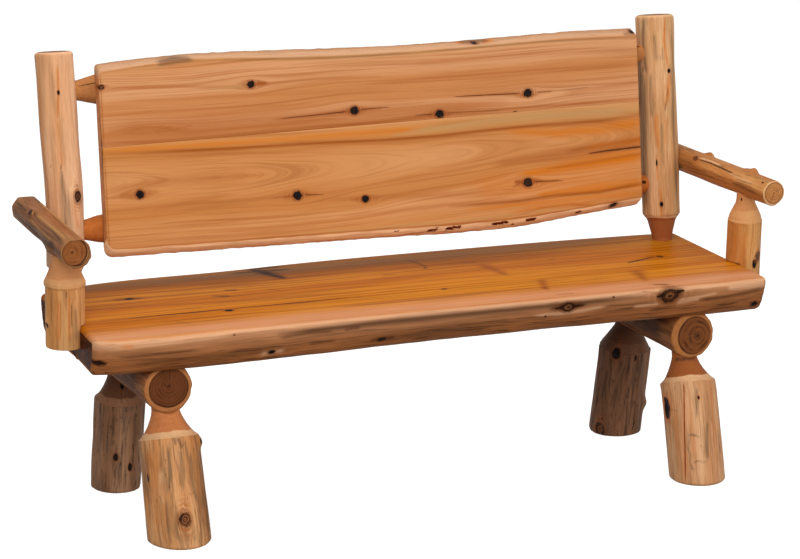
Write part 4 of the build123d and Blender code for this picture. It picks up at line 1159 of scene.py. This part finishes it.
boards = {
    "upper": dict(
        nominal=0.486, outward=1, seed=81, frontColumns=86, corners=(0.01, 0.004), heart=0.03, sink=0, sway=0.004,
        waves=[(-1, -4, -22), (-0.7, 5, -7), (-0.3, 1, -17), (0.1, -5, -20), (0.45, -2, -17), (0.75, 2, -13),
            (1, 0, -16)],
        pithLine=[(-632, 220), (-430, 217), (-100, 222), (200, 219), (632, 226)],
        eye=(-529, 339, 85, 14, -16),
        knots=[(-292, 418.4, 7.5, 1, 0, 0.8), (-56, 347, 8.5, 1.05, 0, 1), (145, 326.2, 8, 1.15, 0, 0.9),
            (360, 358.4, 8.5, 1.05, 0, 0.9), (240, 478, 4.5, 2, 0, 0.7), (628, 480.7, 6, 1, 0.3, 0.6),
            (-627, 433.4, 5, 1.1, 0.7, 0.6), (327, 317, 2.8, 1.2, 0.3, 0.6)],
        strokes={
            "brown": [(0.75, -660,338,28, -412,338,28, -183,336,22, 50,336,17, 300,338,13),
             (0.6, -640,370.8,3.5, -522,375.6,3.5, -410,373.6,3.5, -319,371.9,3.5, -205,370.8,3.5),
             (0.5, -17,402.1,6, 174,405.5,7, 392,407.5,7, 640,404.1,7),
             (0.5, -640,432.3,3.5, -452,424.2,3.5, -317,413.5,4, -179,421,4, 8,418,4),
             (0.35, 100,440,6, 400,443,8, 640,440,7), (0.3, -600,400,6, -300,395,6, 50,390,6),
             (0.5, 450,352,8, 640,364,9)],
            "deep": [(0.8, -650,313.5,5, -458,311.5,4.5, -231,313,5, 3,317.5,6, 146,323.5,5.5, 291,325.2,4,
             438,326.5,4, 650,329.5,4), (0.9, -280,419,6, -255,419.5,3), (0.7, 385,358,3, 420,358.5,2),
             (0.7, -100,345.5,4, -40,348,5, 0,348.5,3), (0.75, -250,340,2, -150,342.5,4, -70,346,7),
             (0.7, 200,361.2,2, 300,360,3, 345,358.4,6), (0.7, 100,326.8,2, 132,326.2,5),
             (0.7, 158,327,5, 200,326.5,2.5), (0.7, -45,347.5,6, 10,349,3), (0.45, -610,339,1, -565,346.5,1,
             -510,349,1, -460,346,1, -430,340,1, -470,333,1, -530,330,1, -580,333,1),
             (0.4, -570,339,1, -530,343,1, -490,341,1, -475,338.5,1, -520,336,1)],
            "grey": [(0.6, -640,462,2.5, -520,470,3, -420,478.5,3, -300,474,3, -202,469,4, -106,464,4.5, 100,463,4,
             250,467,3, 400,470,2.5, 640,467,2.5), (0.8, -385,414.5,1.5, -340,415,3, -303,416.5,4)],
            "stain": [(0.7, -500,478,3, -460,483,8, -420,480,4), (0.6, -500,472,2, -470,475.5,4, -420,478,3),
             (0.35, -350,475.5,1.5, -202,469,3, -106,464,3, 100,463.5,2.2),
             (0.3, 100,463.5,2, 250,467,2, 400,470,2, 640,467,2), (0.6, 205,479,3, 240,479,5, 280,480,3),
             (0.5, 605,474,3, 632,478,5)],
            "orange": [(0.8, 260,476,3, 290,480,3), (0.6, 200,478,3, 220,480,3)],
            "crack": [(0.42, -235,340.5,0.6, -130,343.5,0.9, -70,346,1.5),
             (0.38, -43,347.5,1.4, -10,348.5,0.8, 30,349,0.6), (0.42, 175,361.8,0.6, 260,360.5,0.8, 345,358.2,1.3),
             (0.29, 374,358.4,1, 440,359,0.6, 519,361.7,0.6), (0.38, 85,326.8,0.6, 131,326.2,1.3),
             (0.29, 158,327.3,1, 220,326.2,0.6, 300,324.1,0.6)],
        },
        wood=dict(),
    ),
    "lower": dict(
        nominal=0.064, outward=-1, seed=82, frontColumns=126, corners=(0.022, 0.003), heart=0.028, sink=0.035,
        sway=0.0022,
        waves=[(-1, 5, 25), (-0.5, 1, 21), (0, -3, 18), (0.35, -7, 15), (0.55, -4, 18), (0.75, 8, 28), (1, 22, 42)],
        pithLine=[(-632, 224.4), (-418, 222.2), (-224, 218.7), (-49, 221.1), (94, 228.3), (238, 235.7), (435, 244.2),
            (634, 246.1)],
        eye=(-90, 222, 110, 30, 5),
        knots=[(-554, 201.4, 8.2, 1, 0, 0.8), (-197, 172.2, 8.5, 1.05, 0, 0.7), (-39, 152.5, 7.2, 1.05, 0, 0.8),
            (352, 159.6, 9, 1.05, 0.15, 0.9), (566, 90, 7.5, 1.2, 0, 0.9)],
        strokes={
            "light": [(0.55, -650,301.9,5, -459,298.5,5, -231,298.5,6, 2,298.5,8, 145,303,5)],
            "orange": [(0.75, -650,300,6, -459,297,6, -231,296.5,6.5, 2,296,8, 100,299,6),
             (0.8, 300,278,6, 435,264.3,10, 535,266.4,12, 650,275.7,13),
             (1, 320,179,5, 400,182.5,11, 482,187.5,17, 557,192.6,20, 650,200.7,20), (0.7, 500,226,6, 650,236,8),
             (0.45, 220,160,25, 400,150,35, 650,170,50), (1, 360,129,6, 504,134.4,13, 650,140,15),
             (0.7, 200,110,4, 400,113,6, 650,118,8), (0.6, 300,93,4, 379,102.5,6, 454,105.7,6, 528,98.5,4)],
            "deep": [(0.95, -650,292.5,3.5, -460,287.3,3.5, -324,284.1,3.8, -186,284.2,4.5, 1,277.7,4.5,
             144,277.7,4.5, 241,281.5,4.5, 338,284.3,4.5, 436,283.5,4.5, 536,285,4.5, 650,292.5,5),
             (0.6, 450,222,5, 650,238,6), (0.5, 400,186,3, 530,196,3, 650,205,3),
             (0.9, 160,120.5,3.5, 331,120.5,4.5, 417,125.7,4, 529,125,4, 650,138.5,4),
             (0.5, 330,90.9,2.5, 379,99.5,2.5, 454,102.7,2.5, 528,93.5,2.5), (0.6, 375,160,5, 430,158.5,2),
             (0.6, -230,171.5,2, -205,172,5), (0.9, 365,160,5, 390,160,3), (0.9, 340,161,5, 320,163,4),
             (0.7, -180,172,5, -150,171,2), (0.6, -54,154,5, -75,153,2)],
            "brown": [(0.5, -650,283,2.5, -500,279,2, -350,276,1.6), (0.4, 440,274,4, 650,283,4),
             (0.85, 270,205,7, 335,211,10, 433,216.2,13, 533,223.6,14, 650,232.3,14),
             (0.5, -150,158,4, -5,154,7, 138,148.1,9, 283,139.3,8, 332,143,5),
             (0.4, -100,118,4, 100,122,6, 300,131,5), (0.45, -650,170,5, -500,172,6, -350,185,4),
             (0.35, -620,95,3, -200,92,3), (0.5, -630,215,6, -500,226,10, -350,224,6, -260,222,3),
             (0.55, -605,203,8, -554,203.5,14, -510,202,6)],
            "grey": [(0.95, 30,286,2, 121,293.5,7.5, 193,297,9.5, 266,304,11, 339,305.4,11.5, 437,304.5,11,
             536,304.4,12, 650,307.2,12), (0.6, -250,90,2, -32,88,3, 87,87.5,3, 183,88.5,3, 281,89.5,2.6, 379,94.9,2,
             478,90.5,2, 548,88.4,2)],
            "crack": [(1, 500,213.5,0.7, 560,216.5,1.9, 645,220,2.4), (0.34, 366,160,1.3, 400,159,0.7, 443,157.3,0.6),
             (0.34, -182,172.2,1.1, -160,171.2,0.7, -133,169.5,0.6), (0.25, -260,170.5,0.6, -212,171.8,0.8)],
            "stain": [(0.5, 330,157,1.5, 315,152,1.2)],
            "flake": [(0.75, 26,75.7,3.2, 40,76.3,3.2), (0.9, 108,70,4.5, 135,71.5,4.8),
             (1, 150,70,4.8, 190,74.5,6.4), (1, 262,73.5,4.2, 305,74,5.6), (0.8, 312,68,4.5, 320,68.5,4.5),
             (1, 345,75.5,5.1, 372,77,5.6), (0.9, 470,83,4.5, 488,83.5,4.8), (0.6, 120,78,2.9, 200,82,2.9)],
        },
        # the live-edge tones are made very light so that the bevel, which faces down, still looks lit: painted light
        wood=dict(pale=(203, 144, 92), warm=(189, 124, 66), band=(173, 104, 47), livePale=(254, 214, 168),
            liveDark=(246, 190, 136), liveStreak=(176, 114, 72)),
    ),
}
# endDark and endPale are lightened so that the shaded end still looks light: painted light
boardTones = {
    "pale": (204, 146, 100), "warm": (190, 126, 74), "band": (174, 106, 54), "line": (150, 86, 40), "bandShare": 0.42,
    "lineShare": 0.42, "orange": (196, 108, 18), "grey": (182, 138, 86), "light": (210, 148, 86),
    "brown": (164, 94, 44), "deep": (146, 74, 18), "livePale": (194, 147, 111), "liveDark": (178, 126, 86),
    "liveStreak": (130, 90, 58), "liveFrom": 0.45, "liveTo": 1, "liveStreaks": 0.45, "liveRagged": 0.7,
    "endDark": (184, 116, 64), "endPale": (214, 148, 94), "stain": (70, 44, 28), "flake": (98, 36, 15),
    "crackColour": (84, 46, 24), "haloColour": (140, 70, 28), "rimColour": (108, 46, 16), "rough": 0.46,
    "specular": 0.05, "hairShare": 0.22, "knotRagged": 1.1, "knotNoise": [240, 240, 70],
}


def boardSection(x, board):
    # in depth and height up the rake: up the front face, down the bevelled live edge, down the back, along the seam
    half, back, thick, out = bench["boardHalf"], bench["boardBack"], bench["boardThick"], board["outward"]
    share = x[:, None] / half
    outer, inner = (board["nominal"] + wave(board["waves"], column, share) for column in (1, 2))
    seam = bench["boardSeam"] + bench["seamRise"] * share
    corner = np.where(x[:, None] < 0, *board["corners"])
    near = np.clip(corner - (half - np.abs(x[:, None])), 0, corner)
    rounding = (corner - np.sqrt(corner ** 2 - near ** 2)) * out
    edgeWave = ripple(board["seed"], 0 * x[:, None], x[:, None], 0.0012, (0, 1), (20, 120))
    outer, inner = outer - rounding - out * np.abs(edgeWave), inner - rounding + edgeWave * 0.6
    lip = 0.0006 * out
    frontUp = seam + lip + (inner - seam - lip) * np.linspace(0, 1, board["frontColumns"])[None, :]
    bevelRun = np.linspace(0, 1, 11)[None, 1:]
    belly = 0.0022 * np.sin(pi * bevelRun) * (1 + 0.5 * np.sin(40 * x[:, None]))
    bevelUp = inner + (outer - inner) * bevelRun + out * np.minimum(belly, 0.0022) * (1 - bevelRun)
    backUp = outer + (seam - outer) * np.linspace(0, 1, 22)[None, 1:]
    seamDepth = np.linspace(back, back + thick - abs(lip), 5)[None, 1:]
    # columns: depth, height, live edge, the way down the bevel, and on the seam
    return joinParts(
        (back + thick, frontUp, 0, 0, 0),
        (back + thick * (1 - bevelRun) + belly * 0.8, bevelUp, np.clip(bevelRun * 8, 0, 1), bevelRun, 0),
        (back, backUp, 0, 0, 0),
        (seamDepth, seam, 0, 0, 1))


for name, board in boards.items():
    half, ease, out = bench["boardHalf"], 0.004, board["outward"]
    board["knotShapes"] = [((x, height, boardFace), (size * stretch, size, 0.02), tone, glow)
                           for x, height, size, stretch, tone, glow in scaledRows(board["knots"], *knotScales)]
    strokes = strokeList(board["strokes"], mm, mm, mm)
    # a dark line along the arris, and one down the left end
    places = np.linspace(-1, 1, 15)
    arris = board["nominal"] + wave(board["waves"], 2, places) - out * 0.0022
    strokes.append(("deep", 0.75, [(half * place * 1.02, height, 0.0015) for place, height in zip(places, arris)]))
    strokes.append(("deep", 0.8, [(0.004 - half, height, 0.0011) for height in (0.29, arris[0] + 0.002 * out)]))
    nearEnd = half - ease * (1 - np.cos(np.linspace(0, pi / 2, 7)))
    corner = np.linspace(nearEnd[-1] - 0.0012, half - 0.024, 12)
    middle = np.linspace(-corner[-1] + 0.002, corner[-1] - 0.002, 500)
    stations = np.concatenate([-nearEnd, -corner, middle, corner[::-1], nearEnd[::-1]])
    depth, up, live, drop, onSeam = boardSection(stations, board)
    depth, up = easeEnds(stations, half, depth, up, ease, 1 - onSeam[0])
    x = stations[:, None] + 0 * up
    x = x + 0.0045 * np.clip((x - half + 0.05) / 0.05, 0, 1)  # the right end comes up to the post
    rings = rakeBase + x[..., None] * np.array([1, 0, 0]) + up[..., None] * rakeUp + depth[..., None] * rakeForward
    flow = 0 * up
    for centre, halfSizes, *_ in board["knotShapes"]:
        size, off = halfSizes[1], up - centre[1]
        flow += off * size ** 2 * 2.4 / (((x - centre[0]) / 3.0) ** 2 + off ** 2 + size ** 2 * 0.7)
    # growth rings are tubes round a heart line behind the face, which sinks deeper to the right
    places, heights = scaledRows(board["pithLine"], mm, mm).T
    heart = board["heart"] + board["sink"] * (x + half)
    heart = heart + board["sway"] * (np.sin(9 * x + board["seed"]) + 0.5 * np.sin(23 * x))
    pith = np.hypot(up - flow - np.interp(x, places, heights), heart + boardFace - depth)
    eyeX, eyeUp, eyeLong, eyeWide, eyeDeep = np.array(board["eye"]) * mm
    pith = pith + eyeDeep * bump(x - eyeX, eyeLong) * bump(up - eyeUp, eyeWide)
    fields = capFields({
        "wood": np.stack([x, pith, depth], -1),
        "skin": np.stack([x, up, depth], -1),
        "cut": np.stack([0 * x, live, drop], -1),
        **markFields(x, up + 3 * (depth < 0.04) * (1 - live), strokes),
    })
    boardWood = slabWood("boardWood" + name.title(), board, paints({**boardTones, **board["wood"]}))
    closedPiece("backBoard" + name.title(), capRings(rings), fields, boardWood, f"back_board_{name}")
print("back boards")

# hidden pieces kept from the frame: lag screws and tongues


def zincSteel():
    material = newMaterial("zincSteel")
    spangle = node("TexNoise", {"Vector": node("TexCoord", output="Object"), "Scale": 160.0, "Detail": 3.0})
    colour = blend(spangle, paint(176, 178, 176), paint(206, 208, 204))
    finish(colour, between(spangle, 0.3, 0.7, 0.28, 0.45), spangle, distance=0.0001, Metallic=1.0)
    return material


def birchWood():
    material = newMaterial("birchWood")
    lines = fibres(node("TexCoord", output="Object"), (6, 300, 300), 2.0)
    colour = blend(lines, paint(226, 200, 160), paint(196, 160, 112))
    finishWood(colour, between(lines, 0.3, 0.7, 0.5, 0.62), [(lines, 0.0002)], 0.3)
    return material


steel, birch = zincSteel(), birchWood()
for name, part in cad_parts.items():
    if name.endswith("screws") or name.endswith("tongue"):
        part.data.materials.clear()
        part.data.materials.append(steel if name.endswith("screws") else birch)
print("screws and tongues")

# floor, lights and camera

studio = {
    "floorHalf": 30.0,
    "worldStrength": 0.30,
    "lamps": {  # place, size, power
        "keyLamp": ((-2.4, -4.2, 3.0), 2.4, 190.0),
        "fillLamp": ((2.9, -4.2, 1.7), 2.4, 80.0),
        "topLamp": ((0.0, 0.2, 3.4), 2.6, 52.0),
    },
}
white = (1, 1, 1, 1)


def rayKinds():  # 1 where the camera looks straight, and 1 in a mirror or through glass
    kinds = ("Camera", "Glossy", "Transmission")
    seen, glossy, through = (node("LightPath", output=f"Is {kind} Ray") for kind in kinds)
    return seen, calc("MAXIMUM", glossy, through)


def studioFloor():
    # white to the camera and in reflections, with the shadow kept; a plain mid grey to the light it bounces
    material = newMaterial("studioFloor")
    seen, mirrored = rayKinds()
    shadowed = node("BsdfDiffuse", {0: (0.42, 0.42, 0.42, 1)})
    toCamera = node("AddShader", (shadowed, node("Emission", {0: white, 1: 0.88})))
    first = node("MixShader", {0: seen, 1: node("BsdfDiffuse", {0: (0.34, 0.34, 0.34, 1)}), 2: toCamera})
    whole = node("MixShader", {0: mirrored, 1: first, 2: node("Emission", {0: white, 1: 1.0})})
    node("OutputMaterial", (whole,), None)
    half = studio["floorHalf"]
    mesh = bpy.data.meshes.new("studioFloor")
    mesh.from_pydata([(-half, -half, 0), (half, -half, 0), (half, half, 0), (-half, half, 0)], [], [(0, 1, 2, 3)])
    mesh.materials.append(material)
    floor = bpy.data.objects.new("studioFloor", mesh)
    bpy.context.scene.collection.objects.link(floor)


studioFloor()

world = bpy.data.worlds.new("studioWorld")
bpy.context.scene.world = world
world.use_nodes = True
sheet["tree"] = world.node_tree
sheet["tree"].nodes.clear()
strength = between(calc("MAXIMUM", *rayKinds()), 0.0, 1.0, studio["worldStrength"], 1.0)
node("OutputWorld", (node("Background", {0: white, 1: strength}),), None)

for name, (place, size, power) in studio["lamps"].items():
    lamp = bpy.data.lights.new(name, "AREA")
    lamp.shape, lamp.size, lamp.energy = "SQUARE", size, power
    holder = bpy.data.objects.new(name, lamp)
    holder.location = place
    holder.rotation_euler = (Vector((0, 0, 0.5)) - Vector(place)).to_track_quat("-Z", "Y").to_euler()
    bpy.context.scene.collection.objects.link(holder)

view = {"azimuth": -23.2, "elevation": 14.5, "roll": 0.85, "distance": 7.292, "target": (-0.0116, 0.012, 0.445),
        "lens": 151.94, "sensor": 36.0}
azimuth, elevation, roll = (radians(view[key]) for key in ("azimuth", "elevation", "roll"))
back = Vector((sin(azimuth) * cos(elevation), -cos(azimuth) * cos(elevation), sin(elevation)))
right = (-back).cross(Vector((0, 0, 1))).normalized()
upward = right.cross(-back)
axes = right * cos(roll) + upward * sin(roll), upward * cos(roll) - right * sin(roll), back
camera = bpy.data.objects.new("camera", bpy.data.cameras.new("camera"))
camera.matrix_world = (Matrix.Translation(Vector(view["target"]) + back * view["distance"])
                       @ Matrix(axes).transposed().to_4x4())
camera.data.lens, camera.data.sensor_width = view["lens"], view["sensor"]
bpy.context.scene.collection.objects.link(camera)
bpy.context.scene.camera = camera
bpy.context.scene.view_settings.view_transform = "Standard"
print("studio")
